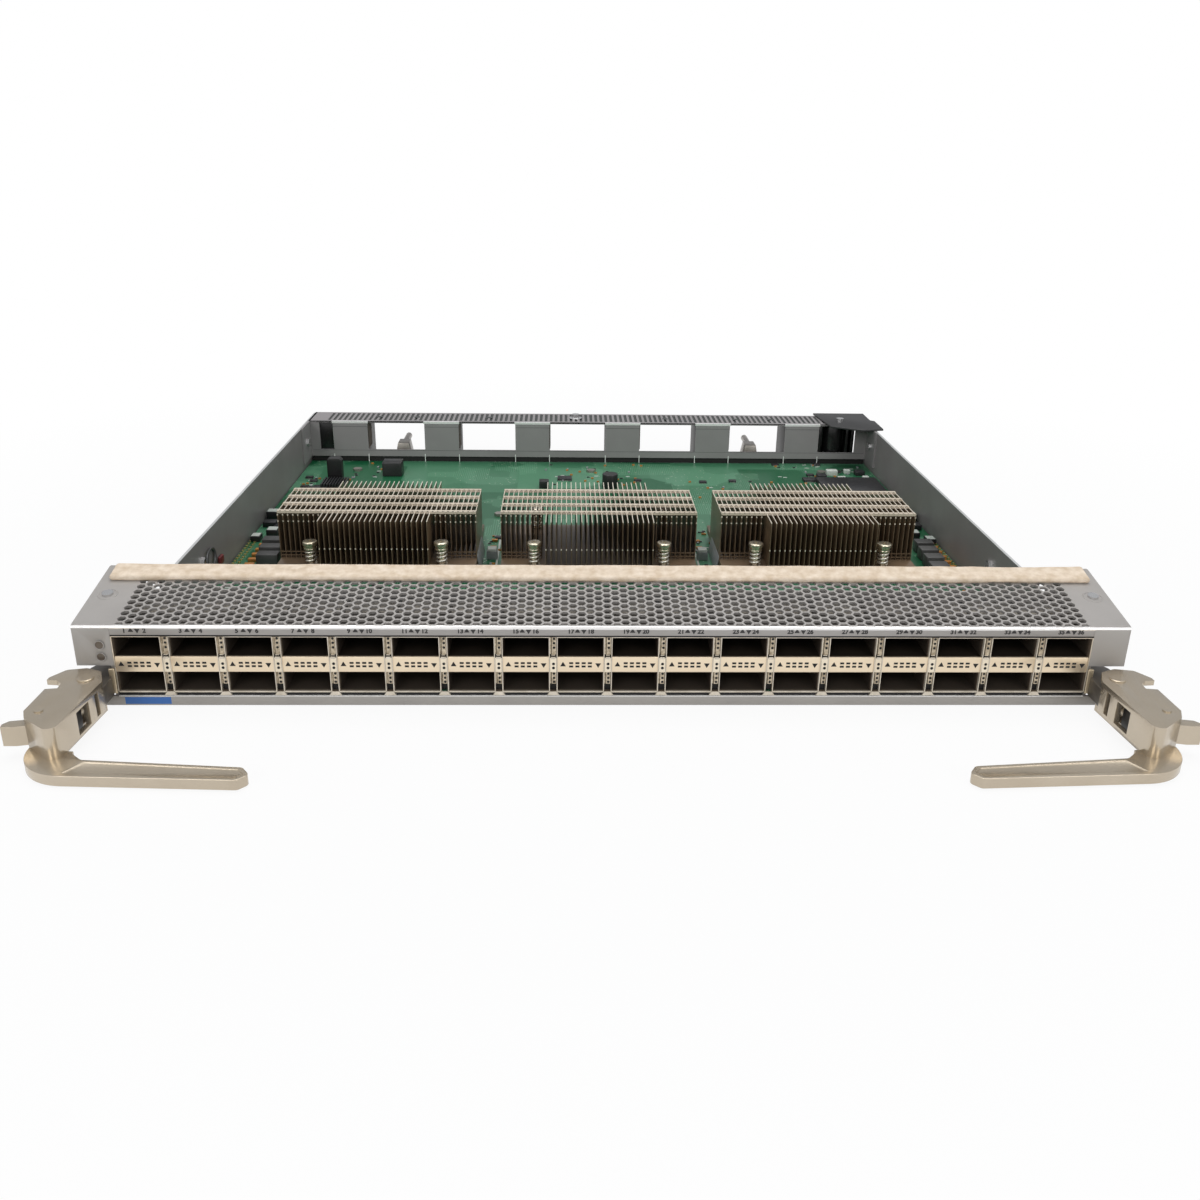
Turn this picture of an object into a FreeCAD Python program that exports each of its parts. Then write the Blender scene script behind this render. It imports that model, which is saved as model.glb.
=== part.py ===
"""Switch line card: a shallow steel tray with a circuit board, thirty-six stacked ports behind a
front with a perforated sloping top, three finned heat sinks, a rear frame with backplane
connectors, and two hinged ejector levers.

Frame: millimetres, +X to the right seen from the front, +Y into the chassis, +Z up. The origin is
the middle of the front face's lower edge, on the plane that the tray rests on.
"""
import FreeCAD, Part
import math
import os
import Sketcher

doc = FreeCAD.newDocument("LineCard")
sheet = doc.addObject("Spreadsheet::Sheet", "Sizes")


# Driving dimensions: alias, value, what it is
DIMENSIONS = [
    ("port_pitch", 21.0, "spacing of the port columns"),
    ("port_width", 17.8, "clear width of one port"),
    ("port_height", 8.2, "clear height of one port"),
    ("band_height", 6.4, "height of the light band between the two rows"),
    ("cage_columns", 6, "port columns in one cage"),
    ("cage_depth", 48.0, "front to back of a port cage"),
    ("cage_sheet", 0.4, "cage sheet thickness"),
    ("cage_front", 0.4, "set back of the cages from the front face"),
    ("cage_gap", 0.4, "air between a cage and what stands beside it"),
    ("fold_depth", 34.0, "depth of the folded dividers and light bands"),
    ("face_width", 403.6, "overall width of the front face"),
    ("face_height", 33.3, "height of the front face's upper edge"),
    ("face_sheet", 1.2, "front face sheet thickness"),
    ("shelf_height", 16.8, "underside of the end brackets, over the ejectors"),
    ("cover_sheet", 1.0, "sloping cover sheet thickness"),
    ("slope_run", 32.0, "depth of the open part of the slope"),
    ("slope_rise", 5.7, "rise of the slope over that depth"),
    ("gasket_depth", 11.0, "front to back of the gasket strip"),
    ("gasket_height", 3.4, "height of the gasket strip over the slope"),
    ("gasket_inset", 3.6, "from the gasket's end to the end of the face"),
    ("rear_flange", 5.0, "depth of the cover's folded rear flange"),
    ("cover_hole", 10.6, "across flats of a cover hole"),
    ("cover_hole_pitch", 16.6, "spacing of the holes along a row"),
    ("cover_row_pitch", 9.4, "spacing of the rows of cover holes"),
    ("cover_hole_count", 22, "holes along a row"),
    ("pan_sheet", 1.2, "tray sheet thickness"),
    ("tray_inset", 2.2, "from the outside of the port cages to the outside of a tray wall"),
    ("tray_length", 366.7, "front face to the tray's rear edge"),
    ("wall_height", 31.8, "tray wall height"),
    ("front_strip", 3.9, "height of the tray's front lip"),
    ("front_ear", 3.9, "how far the front lip reaches past the end brackets' inner walls"),
    ("board_seat", 3.0, "underside of the circuit board"),
    ("board_thick", 2.4, "circuit board thickness"),
    ("board_gap", 0.6, "air round the circuit board"),
    ("board_setback", 4.7, "from the circuit board's rear edge to the tray's rear edge"),
    ("post_radius", 3.2, "radius of a board post"),
    ("board_screw_radius", 1.5, "radius of a board screw's shank"),
    ("post_reach", 150.0, "middle of the card to the outer board posts"),
    ("post_front", 75.0, "depth of the front row of board posts"),
    ("post_middle", 225.0, "depth of the middle row of board posts"),
    ("post_setback", 22.5, "from the rear row of board posts to the rear frame"),
    ("sink_pitch", 108.0, "spacing of the heat sinks"),
    ("sink_width", 96.0, "heat sink width"),
    ("sink_front", 119.5, "front edge of the heat sink bases"),
    ("sink_depth", 68.5, "front to back of a heat sink base"),
    ("sink_base", 3.6, "heat sink base thickness"),
    ("fin_height", 23.6, "fin height over the base"),
    ("fin_sheet", 0.4, "fin thickness"),
    ("fin_count_long", 15, "long fins in the middle of a heat sink"),
    ("fin_count_short", 6, "short fins at each side"),
    ("fin_notch", 14.5, "set back of the short fins at each end"),
    ("tie_depth", 2.6, "front to back of a fin tie"),
    ("tie_height", 0.4, "fin tie thickness"),
    ("tie_count", 4, "fin ties along a heat sink"),
    ("chip_height", 3.2, "switch chip height"),
    ("chip_side", 45.0, "switch chip width and depth"),
    ("sink_screw_offset", 31.5, "heat sink screw from the sink's middle"),
    ("sink_screw_inset", 6.5, "heat sink screw from the base's edge"),
    ("sink_screw_radius", 1.6, "heat sink screw shank radius"),
    ("sink_head_radius", 3.2, "heat sink screw head radius"),
    ("spring_radius", 3.4, "outer radius of a heat sink spring"),
    ("spring_wall", 0.9, "wire thickness of a heat sink spring"),
    ("spring_height", 8.0, "height of a heat sink spring"),
    ("sink_head_height", 3.4, "heat sink screw head height"),
    ("frame_depth", 26.2, "front to back of the rear frame"),
    ("frame_sheet", 1.2, "rear frame sheet thickness"),
    ("frame_bottom", 9.0, "lower edge of the rear frame"),
    ("flange_reach", 22.0, "how far the rear frame's end flanges reach forward"),
    ("frame_top", 32.2, "top of the rear frame"),
    ("window_sill", 13.4, "lower edge of the frame windows"),
    ("connector_width", 22.3, "width of a backplane connector and of the panel before it"),
    ("left_end_space", 27.05, "tray wall to the middle of the first connector"),
    ("right_end_space", 44.25, "middle of the last connector to the tray wall"),
    ("side_slot_inset", 7.2, "tray wall to the narrow frame window"),
    ("side_slot_width", 8.9, "width of the narrow frame window"),
    ("end_window_width", 24.4, "width of the frame's last window"),
    ("strip_slot_width", 4.0, "width of a slot in the frame's top"),
    ("strip_slot_pitch", 10.55, "spacing of the slots in the frame's top"),
    ("strip_slot_count", 33, "slots in the frame's top"),
    ("strip_margin", 2.4, "plain edge in front of and behind those slots"),
    ("strip_end", 9.0, "plain end of the frame's top beside the first slot"),
    ("connector_gap", 0.3, "air between the frame and what stands behind it"),
    ("connector_overhang", 4.0, "how far the connectors stand out behind the tray"),
    ("contact_slot", 1.6, "width of a contact slot in a backplane connector"),
    ("contact_slot_pitch", 3.6, "spacing of the contact slots"),
    ("contact_slot_count", 5, "contact slots in a backplane connector"),
    ("contact_depth", 5.0, "depth of the contact slots"),
    ("guide_pin_radius", 2.1, "guide pin radius"),
    ("guide_pin_axis", 15.0, "height of a guide pin's axis"),
    ("guide_pin_length", 18.0, "straight length of a guide pin"),
    ("guide_pin_nose", 3.0, "length of a guide pin's tapered nose"),
    ("guide_pin_left", -123.6, "place of the left guide pin"),
    ("guide_pin_right", 106.8, "place of the right guide pin"),
    ("guide_base_gap", 1.6, "air between the rear frame and a guide pin's base"),
    ("guide_base_depth", 12.0, "front to back of a guide pin's base"),
    ("lid_sheet", 1.2, "corner lid thickness"),
    ("pivot_inset", 7.2, "from the end of the face in to an ejector's pivot"),
    ("pivot_front", 10.5, "ejector pivot in front of the face"),
    ("pivot_radius", 2.2, "ejector pivot pin radius"),
    ("running_gap", 0.05, "radial clearance on a pin"),
    ("lever_bottom", 0.4, "underside of the ejector levers"),
    ("lever_thick", 4.0, "ejector lever thickness"),
    ("housing_top", 16.5, "top of the ejector housings"),
    ("housing_roof", 2.0, "roof thickness of an ejector housing"),
    ("housing_wall", 2.0, "wall thickness of an ejector housing"),
    ("flat_gap", 0.3, "air between flat faces that slide"),
    ("lug_radius", 5.6, "radius of the lug's nose round the pivot"),
    ("lug_height", 7.5, "height of the lug and of a trigger"),
    ("trigger_offset", 6.2, "from an ejector's pivot out to its trigger's pin"),
    ("trigger_front", 36.6, "trigger pin in front of the face"),
    ("trigger_radius", 1.5, "trigger pin radius"),
    ("light_radius", 1.7, "status light radius"),
    ("light_inset", 9.7, "from the end of the face to the status lights"),
    ("light_low", 20.5, "height of the lower status light"),
    ("light_spacing", 4.9, "spacing of the status lights"),
    ("choke_side", 11.5, "width and depth of a power choke"),
    ("choke_height", 6.0, "power choke height"),
    ("choke_pitch", 13.5, "spacing of the power chokes"),
    ("choke_count", 4, "power chokes at each side"),
    ("choke_inset", 12.9, "tray wall to the middle of a choke"),
    ("choke_front", 118.0, "front of the first choke"),
    ("wall_screw_depth", 104.0, "depth of the screws in the tray walls"),
    ("wall_screw_height", 20.5, "height of the screws in the tray walls"),
    ("module_depth", 45.5, "from the tall module to the rear frame"),
]


class Size:
    """A length with its number and the formula that says how it follows from the sheet."""

    def __init__(self, value, text):
        self.value = value
        self.text = text

    def joined(self, other, value, sign):
        return Size(value, "(%s %s %s)" % (self.text, sign, other.text))

    def __add__(self, other):
        other = as_size(other)
        return self.joined(other, self.value + other.value, "+")

    def __sub__(self, other):
        other = as_size(other)
        return self.joined(other, self.value - other.value, "-")

    def __mul__(self, other):
        other = as_size(other)
        return self.joined(other, self.value * other.value, "*")

    def __truediv__(self, other):
        other = as_size(other)
        return self.joined(other, self.value / other.value, "/")

    def __neg__(self):
        return Size(-self.value, "(0 - %s)" % self.text)

    def __radd__(self, other):
        return as_size(other) + self

    def __rsub__(self, other):
        return as_size(other) - self

    def __rmul__(self, other):
        return as_size(other) * self


def as_size(number):
    """Turns a plain number into a Size, and leaves a Size as it is."""
    if isinstance(number, Size):
        return number
    return Size(float(number), "(%s)" % repr(float(number)))


class Sheet:
    """The sheet's cells as Sizes, one attribute for each alias."""


def fill_sheet():
    """Writes the driving dimensions into the sheet and returns them as Sizes."""
    cells = Sheet()
    for row, (alias, value, note) in enumerate(DIMENSIONS, start=1):
        sheet.set("A%d" % row, note)
        sheet.set("B%d" % row, str(value))
        sheet.setAlias("B%d" % row, alias)
        setattr(cells, alias, Size(float(value), "Sizes." + alias))
    doc.recompute()
    return cells


d = fill_sheet()
PARTS = []


# Levels and places that follow from the driving dimensions
board_top = d.board_seat + d.board_thick
low_floor = board_top + d.cage_sheet
low_roof = low_floor + d.port_height
high_floor = low_roof + d.band_height
high_roof = high_floor + d.port_height
cage_top = high_roof + d.cage_sheet
cage_half = (d.cage_columns - 1) * d.port_pitch / 2 + d.port_width / 2 + d.cage_sheet
cage_pitch = d.cage_columns * d.port_pitch
array_half = cage_pitch + cage_half
bracket_wall_inner = array_half + d.cage_gap
bracket_wall_outer = bracket_wall_inner + d.face_sheet
face_half = d.face_width / 2
cage_back = d.cage_front + d.cage_depth
slope = d.slope_rise / d.slope_run
cover_back = d.slope_run + d.gasket_depth + d.cover_sheet + 0.6
chip_top = board_top + d.chip_height
base_top = chip_top + d.sink_base
fin_top = base_top + d.fin_height
frame_rear = d.tray_length
frame_plane = d.tray_length - d.frame_depth
frame_back_face = frame_plane + d.frame_sheet
board_rear = d.tray_length - d.board_setback
tray_half = array_half - d.tray_inset
tray_inner = tray_half - d.pan_sheet
tray_shoulder = cage_back + 2.0
front_reach = bracket_wall_outer + d.front_ear
pivot_reach = face_half - d.pivot_inset
trigger_reach = pivot_reach + d.trigger_offset
light_reach = face_half - d.light_inset
choke_reach = tray_inner - d.choke_inset
connector_pitch = (tray_inner * 2 - d.left_end_space - d.right_end_space) / 5
window_width = connector_pitch - d.connector_width
connector_half = d.connector_width / 2
connector_rear = frame_rear + d.connector_overhang
side_slot_left = d.side_slot_inset - tray_inner


def slope_height(depth):
    """Height of the cover's outer face at a depth behind the front face."""
    return d.face_height + slope * depth


def plane_of(body, role):
    """One of the body's own origin planes or axes."""
    for feature in body.Origin.OriginFeatures:
        if feature.Role == role:
            return feature
    raise ValueError(role)


def new_body(label):
    """An empty body that may hold several separate solids."""
    body = doc.addObject("PartDesign::Body", label)
    body.Label = label
    body.AllowCompound = True
    return body


def new_sketch(body, role, start, loops):
    """A sketch on an origin plane, moved along the world axis, with every corner bound to the sheet."""
    sketch = body.newObject("Sketcher::SketchObject", body.Name + "_sketch")
    sketch.AttachmentSupport = [(plane_of(body, role), "")]
    sketch.MapMode = "FlatFace"
    start = as_size(start)
    shift = -start if role == "XZ_Plane" else start
    sketch.AttachmentOffset = FreeCAD.Placement(
        FreeCAD.Vector(0, 0, shift.value), FreeCAD.Rotation())
    sketch.setExpression("AttachmentOffset.Base.z", shift.text)
    for loop in loops:
        if loop[0] == "circle":
            add_circle(sketch, loop[1], loop[2])
        else:
            add_polygon(sketch, loop)
    return sketch


def fix(sketch, kind, geometry, point, size):
    """Binds one distance from the sketch origin."""
    index = sketch.addConstraint(
        Sketcher.Constraint(kind, -1, 1, geometry, point, size.value))
    sketch.setExpression("Constraints[%d]" % index, size.text)


def add_polygon(sketch, points):
    """Adds a closed outline of straight lines with bound corners."""
    points = [(as_size(u), as_size(v)) for u, v in points]
    vectors = [FreeCAD.Vector(u.value, v.value, 0) for u, v in points]
    first = sketch.GeometryCount
    count = len(points)
    for i in range(count):
        sketch.addGeometry(Part.LineSegment(vectors[i], vectors[(i + 1) % count]), False)
    for i in range(count):
        following = first + (i + 1) % count
        sketch.addConstraint(Sketcher.Constraint("Coincident", first + i, 2, following, 1))
    for i, (u, v) in enumerate(points):
        fix(sketch, "DistanceX", first + i, 1, u)
        fix(sketch, "DistanceY", first + i, 1, v)


def add_circle(sketch, centre, radius):
    """Adds a circle with a bound centre and radius."""
    u = as_size(centre[0])
    v = as_size(centre[1])
    radius = as_size(radius)
    middle = FreeCAD.Vector(u.value, v.value, 0)
    index = sketch.addGeometry(
        Part.Circle(middle, FreeCAD.Vector(0, 0, 1), radius.value), False)
    fix(sketch, "DistanceX", index, 3, u)
    fix(sketch, "DistanceY", index, 3, v)
    number = sketch.addConstraint(Sketcher.Constraint("Radius", index, radius.value))
    sketch.setExpression("Constraints[%d]" % number, radius.text)


def rectangle(left, right, low, high):
    """Corners of an upright rectangle."""
    return [(left, low), (right, low), (right, high), (left, high)]


def mirrored_rectangle(half, low, high):
    """Corners of a rectangle that is centred across the card."""
    return rectangle(-as_size(half), as_size(half), low, high)


def pad(body, role, loops, start, length):
    """Extrudes the loops from a plane towards the positive world axis."""
    feature = body.newObject("PartDesign::Pad", body.Name + "_pad")
    feature.Profile = new_sketch(body, role, start, loops)
    feature.Length = as_size(length).value
    feature.setExpression("Length", as_size(length).text)
    feature.Reversed = role == "XZ_Plane"
    body.Tip = feature
    doc.recompute()
    return feature


def pocket(body, role, loops, start, length):
    """Cuts the loops from a plane towards the positive world axis."""
    before = body.Shape.Volume
    feature = body.newObject("PartDesign::Pocket", body.Name + "_pocket")
    feature.Profile = new_sketch(body, role, start, loops)
    feature.Length = as_size(length).value
    feature.setExpression("Length", as_size(length).text)
    feature.Reversed = role != "XZ_Plane"
    body.Tip = feature
    doc.recompute()
    if body.Shape.Volume >= before:
        raise ValueError("a pocket of %s cuts nothing" % body.Label)
    return feature


def pattern(body, feature, role, spacing, count):
    """Repeats a feature along one of the body's axes."""
    row = body.newObject("PartDesign::LinearPattern", body.Name + "_row")
    row.Originals = [feature]
    row.Direction = (plane_of(body, role), [""])
    length = as_size(spacing) * (as_size(count) - 1)
    row.Length = length.value
    row.setExpression("Length", length.text)
    row.Occurrences = int(as_size(count).value)
    row.setExpression("Occurrences", as_size(count).text)
    body.Tip = row
    doc.recompute()
    return row


def edges_along(feature, axis, places):
    """Names of the straight edges along an axis through the given places in the other two axes."""
    spans = {"X": (1, 2, 0), "Y": (0, 2, 1), "Z": (0, 1, 2)}[axis]
    targets = [(as_size(u).value, as_size(v).value) for u, v in places]
    names = []
    for number, edge in enumerate(feature.Shape.Edges, start=1):
        ends = [vertex.Point for vertex in edge.Vertexes]
        if len(ends) != 2 or abs(ends[0][spans[2]] - ends[1][spans[2]]) < 0.01:
            continue
        flat = [(end[spans[0]], end[spans[1]]) for end in ends]
        for u, v in targets:
            if all(abs(a - u) < 0.02 and abs(b - v) < 0.02 for a, b in flat):
                names.append("Edge%d" % number)
    return names


def round_edges(body, axis, places, radius):
    """Fillets the body's edges along an axis at the given places."""
    base = body.Tip
    names = edges_along(base, axis, places)
    if not names:
        raise ValueError("no edge to round on %s" % body.Label)
    feature = body.newObject("PartDesign::Fillet", body.Name + "_round")
    feature.Base = (base, names)
    feature.Radius = as_size(radius).value
    feature.setExpression("Radius", as_size(radius).text)
    body.Tip = feature
    doc.recompute()
    return feature


LENGTHWISE = FreeCAD.Rotation(FreeCAD.Vector(1, 0, 0), -90)


def rod(name, radius, height, x, y, z, turn):
    """A round solid with its size and place bound to the sheet."""
    solid = doc.addObject("Part::Cylinder", name)
    radius, height = as_size(radius), as_size(height)
    solid.setExpression("Radius", radius.text)
    solid.setExpression("Height", height.text)
    solid.Placement = FreeCAD.Placement(FreeCAD.Vector(0, 0, 0), turn)
    for axis, place in (("x", x), ("y", y), ("z", z)):
        solid.setExpression("Placement.Base." + axis, as_size(place).text)
    return solid


def prism(name, sides, radius, height, x, y, z, turn=None):
    """A small round solid, kept to a few flat sides."""
    solid = doc.addObject("Part::Prism", name)
    radius, height = as_size(radius), as_size(height)
    solid.Polygon = sides
    solid.setExpression("Circumradius", radius.text)
    solid.setExpression("Height", height.text)
    solid.Placement = FreeCAD.Placement(FreeCAD.Vector(0, 0, 0), turn or FreeCAD.Rotation())
    for axis, place in (("x", x), ("y", y), ("z", z)):
        solid.setExpression("Placement.Base." + axis, as_size(place).text)
    return solid


def ring(name, sides, radius, x, y, z, turn):
    """A regular outline, as one section of a tapered solid."""
    outline = doc.addObject("Part::RegularPolygon", name)
    outline.Polygon = sides
    outline.setExpression("Circumradius", as_size(radius).text)
    outline.Placement = FreeCAD.Placement(FreeCAD.Vector(0, 0, 0), turn)
    for axis, place in (("x", x), ("y", y), ("z", z)):
        outline.setExpression("Placement.Base." + axis, as_size(place).text)
    return outline


def screw(name, x, y, bottom, shoulder, shank, head, head_height, sides=8):
    """A screw standing on its shoulder: a shank below it and a wider head above."""
    lower = prism(name + "_shank", sides, shank, as_size(shoulder) - bottom, x, y, bottom)
    upper = prism(name + "_head", sides, head, head_height, x, y, shoulder)
    whole = doc.addObject("Part::Fuse", name)
    whole.Base = lower
    whole.Tool = upper
    return whole


def joined_cut(label, base, tools):
    """A solid with others taken out of it, not yet on the list of sub-parts."""
    holes = doc.addObject("Part::Compound", label + "_tools")
    holes.Links = tools
    result = doc.addObject("Part::Cut", label)
    result.Base = base
    result.Tool = holes
    return result


def carve(label, base, tools):
    """A sub-part with round solids taken out of it."""
    holes = doc.addObject("Part::Compound", label + "_holes")
    holes.Links = tools
    cut = doc.addObject("Part::Cut", label)
    cut.Base = base
    cut.Tool = holes
    return keep(cut, label)


def keep(thing, label=None):
    """Puts a finished sub-part on the list that is written out."""
    if label:
        thing.Label = label
    PARTS.append(thing)
    return thing


def mirror_part(source, label):
    """The right-hand twin of a left-hand sub-part."""
    twin = doc.addObject("Part::Mirroring", label)
    twin.Source = source
    twin.Normal = FreeCAD.Vector(1, 0, 0)
    return keep(twin, label)


def group(label, things):
    """One node of several finished solids."""
    compound = doc.addObject("Part::Compound", label)
    compound.Links = things
    return keep(compound, label)


def hexagon(u, v, across):
    """Corners of a hexagon that points along the first axis."""
    across = as_size(across)
    reach = across / (3 ** 0.5)
    half = reach / 2
    side = across / 2
    u = as_size(u)
    v = as_size(v)
    return [(u + reach, v), (u + half, v + side), (u - half, v + side),
            (u - reach, v), (u - half, v - side), (u + half, v - side)]


post_rear = frame_plane - d.post_setback
POST_PLACES = [(-d.post_reach, d.post_front), (0.0, d.post_front), (d.post_reach, d.post_front),
               (-d.sink_pitch / 2, d.post_middle), (d.sink_pitch / 2, d.post_middle),
               (-d.post_reach, post_rear), (0.0, post_rear), (d.post_reach, post_rear)]


def make_base_pan():
    """The folded tray: floor, front lip, side walls and the pressed-in board posts."""
    body = new_body("folded_tray")
    outline = [(-front_reach, 0), (front_reach, 0), (front_reach, d.front_ear),
               (bracket_wall_outer, d.front_ear * 2.5),
               (bracket_wall_outer, tray_shoulder), (tray_half, tray_shoulder),
               (tray_half, d.tray_length), (-tray_half, d.tray_length),
               (-tray_half, tray_shoulder), (-bracket_wall_outer, tray_shoulder),
               (-bracket_wall_outer, d.front_ear * 2.5), (-front_reach, d.front_ear)]
    pad(body, "XY_Plane", [outline], 0, d.pan_sheet)
    pad(body, "XZ_Plane", [mirrored_rectangle(front_reach, 0, d.front_strip)], 0, d.pan_sheet)
    walls = [rectangle(-tray_half, -tray_inner, tray_shoulder, d.tray_length),
             rectangle(tray_inner, tray_half, tray_shoulder, d.tray_length)]
    pad(body, "XY_Plane", walls, 0, d.wall_height)
    hole = d.board_screw_radius + d.running_gap * 4
    rings = []
    for x, y in POST_PLACES:
        post = prism("post", 8, d.post_radius, d.board_seat - d.pan_sheet / 2, x, y, d.pan_sheet / 2)
        bore = prism("post_bore", 8, hole, d.board_seat, x, y, d.pan_sheet)
        rings.append(joined_cut("board_post", post, [bore]))
    whole = doc.addObject("Part::MultiFuse", "base_pan_with_posts")
    whole.Shapes = [body] + rings
    return keep(whole, "base_pan")


def make_circuit_board():
    """The main board, wide under the cages and narrower between the tray walls."""
    body = new_body("board_blank")
    front_half = bracket_wall_inner - d.board_gap
    rear_half = tray_inner - d.board_gap
    front = d.pan_sheet + d.board_gap
    shoulder = tray_shoulder - d.board_gap
    outline = [(-front_half, front), (front_half, front), (front_half, shoulder),
               (rear_half, shoulder), (rear_half, board_rear), (-rear_half, board_rear),
               (-rear_half, shoulder), (-front_half, shoulder)]
    pad(body, "XY_Plane", [outline], d.board_seat, d.board_thick)
    hole = d.board_screw_radius + d.running_gap * 4
    holes = [prism("board_hole", 8, hole, board_top, x, y, d.pan_sheet) for x, y in POST_PLACES]
    return carve("circuit_board", body, holes)


def make_board_screws():
    """Pan-head screws that hold the board on its posts."""
    radius = d.board_screw_radius
    bottom = d.pan_sheet + d.flat_gap
    screws = [screw("board_screw", x, y, bottom, board_top, radius, radius * 2, radius, 6)
              for x, y in POST_PLACES]
    return group("board_screws", screws)


def make_front_cover():
    """The sloping cover: a bent sheet with a front lip, a rear flange and rows of open holes."""
    body = new_body("front_cover")
    lift = d.cover_sheet
    deep = cover_back - d.cover_sheet
    slope_sheet = [(0, d.face_height - lift), (deep, slope_height(deep) - lift),
                   (deep, slope_height(deep) - d.rear_flange),
                   (cover_back, slope_height(deep) - d.rear_flange),
                   (cover_back, slope_height(cover_back)), (0, d.face_height)]
    pad(body, "YZ_Plane", [slope_sheet], -face_half, d.face_width)
    lip = rectangle(0, d.cover_sheet, cage_top, d.face_height - lift + slope * d.cover_sheet)
    pad(body, "YZ_Plane", [lip], -array_half, array_half * 2)
    round_edges(body, "X", [(0, d.face_height)], d.cover_sheet * 0.8)
    row = d.cover_row_pitch
    middle = d.slope_run / 2 + 0.6
    start = -(d.cover_hole_count - 1) * d.cover_hole_pitch / 2
    quarter = d.cover_hole_pitch / 4
    holes = [hexagon(start - quarter, middle - row, d.cover_hole),
             hexagon(start + quarter, middle, d.cover_hole),
             hexagon(start - quarter, middle + row, d.cover_hole)]
    cut = pocket(body, "XY_Plane", holes, cage_top, d.face_height)
    pattern(body, cut, "X_Axis", d.cover_hole_pitch, d.cover_hole_count)
    return keep(body)


LIGHT_HEIGHTS = (d.light_low, d.light_low + d.light_spacing)


def make_end_brackets():
    """The closed end of the front: face, outer and inner wall, and a shelf over the ejector."""
    body = new_body("end_bracket_blank")
    deep = cover_back - d.cover_sheet
    under = d.cover_sheet
    side = [(0, d.shelf_height), (deep, d.shelf_height),
            (deep, slope_height(deep) - under), (0, d.face_height - under)]
    pad(body, "YZ_Plane", [side], -face_half, d.face_sheet)
    inner = [(d.pan_sheet, d.pan_sheet), (tray_shoulder, d.pan_sheet),
             (tray_shoulder, d.wall_height), (deep, d.wall_height),
             (deep, slope_height(deep) - under), (d.pan_sheet, slope_height(d.pan_sheet) - under)]
    pad(body, "YZ_Plane", [inner], -bracket_wall_outer, d.face_sheet)
    face = rectangle(-face_half, -array_half, d.shelf_height, d.face_height - under)
    pad(body, "XZ_Plane", [face], 0, d.face_sheet)
    shelf = rectangle(-face_half, -bracket_wall_inner, 0, deep)
    pad(body, "XY_Plane", [shelf], d.shelf_height, d.face_sheet)
    back = rectangle(-face_half, -face_half + 8, d.shelf_height, slope_height(deep) - 2.0 * under)
    pad(body, "XZ_Plane", [back], deep - d.face_sheet, d.face_sheet)
    mirror_part(body, "end_bracket_right")
    holes = [prism("light_hole", 12, d.light_radius + d.running_gap * 2, d.face_sheet + 2,
                   -light_reach, -1, height, LENGTHWISE) for height in LIGHT_HEIGHTS]
    carve("end_bracket_left", body, holes)


def make_gasket():
    """The springy strip along the top rear edge of the slope."""
    body = new_body("emi_gasket")
    front = d.slope_run
    back = d.slope_run + d.gasket_depth
    profile = [(front, slope_height(front)), (back, slope_height(back)),
               (back, slope_height(back) + d.gasket_height * 0.45),
               (front + d.gasket_depth * 0.62, slope_height(front) + d.gasket_height * 1.25),
               (front + d.gasket_depth * 0.2, slope_height(front) + d.gasket_height)]
    half = face_half - d.gasket_inset
    pad(body, "YZ_Plane", [profile], -half, half * 2)
    return keep(body)


def make_status_lights():
    """Two round light windows in the left end bracket."""
    windows = [prism("light_window", 12, d.light_radius, d.face_sheet * 2,
                     -light_reach, -0.3, height, LENGTHWISE) for height in LIGHT_HEIGHTS]
    return group("status_lights", windows)


def make_cage(number, middle):
    """One ganged cage: folded shell, floor, column dividers, light bands and connectors."""
    shell = new_body("cage_shell_%d" % number)
    inner = cage_half - d.cage_sheet
    hood = [(middle - cage_half, board_top), (middle - inner, board_top),
            (middle - inner, high_roof), (middle + inner, high_roof),
            (middle + inner, board_top), (middle + cage_half, board_top),
            (middle + cage_half, cage_top), (middle - cage_half, cage_top)]
    pad(shell, "XZ_Plane", [hood], d.cage_front, d.cage_depth)
    back = rectangle(middle - cage_half, middle + cage_half, board_top, cage_top)
    pad(shell, "XZ_Plane", [back], cage_back - d.cage_sheet, d.cage_sheet)
    keep(shell)

    floor = new_body("cage_floor_%d" % number)
    plate = rectangle(middle - inner, middle + inner, d.cage_front, cage_back - d.cage_sheet)
    pad(floor, "XY_Plane", [plate], board_top, d.cage_sheet)
    keep(floor)

    first = middle - (d.cage_columns - 1) * d.port_pitch / 2
    half_wall = (d.port_pitch - d.port_width) / 2
    fold_back = d.cage_front + d.fold_depth
    dividers = new_body("cage_dividers_%d" % number)
    seam = first + d.port_pitch / 2
    fold = folded_channel(seam - half_wall, seam + half_wall, fold_back)
    wall = pad(dividers, "XY_Plane", [fold], low_floor, high_roof - low_floor)
    pattern(dividers, wall, "X_Axis", d.port_pitch, d.cage_columns - 1)
    keep(dividers)

    bands = new_body("light_bands_%d" % number)
    band = [(d.cage_front, low_roof), (fold_back, low_roof),
            (fold_back, low_roof + d.cage_sheet),
            (d.cage_front + d.cage_sheet, low_roof + d.cage_sheet),
            (d.cage_front + d.cage_sheet, high_floor - d.cage_sheet),
            (fold_back, high_floor - d.cage_sheet),
            (fold_back, high_floor), (d.cage_front, high_floor)]
    half_port = d.port_width / 2
    channel = pad(bands, "YZ_Plane", [band], first - half_port, d.port_width)
    pattern(bands, channel, "X_Axis", d.port_pitch, d.cage_columns)
    keep(bands)

    sockets = new_body("port_connectors_%d" % number)
    socket_front = fold_back + 3.0
    block = rectangle(first - half_port + 0.6, first + half_port - 0.6,
                      socket_front, cage_back - d.cage_sheet)
    housing = pad(sockets, "XY_Plane", [block], low_floor, high_roof - low_floor - 0.3)
    pattern(sockets, housing, "X_Axis", d.port_pitch, d.cage_columns)
    keep(sockets)


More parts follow.
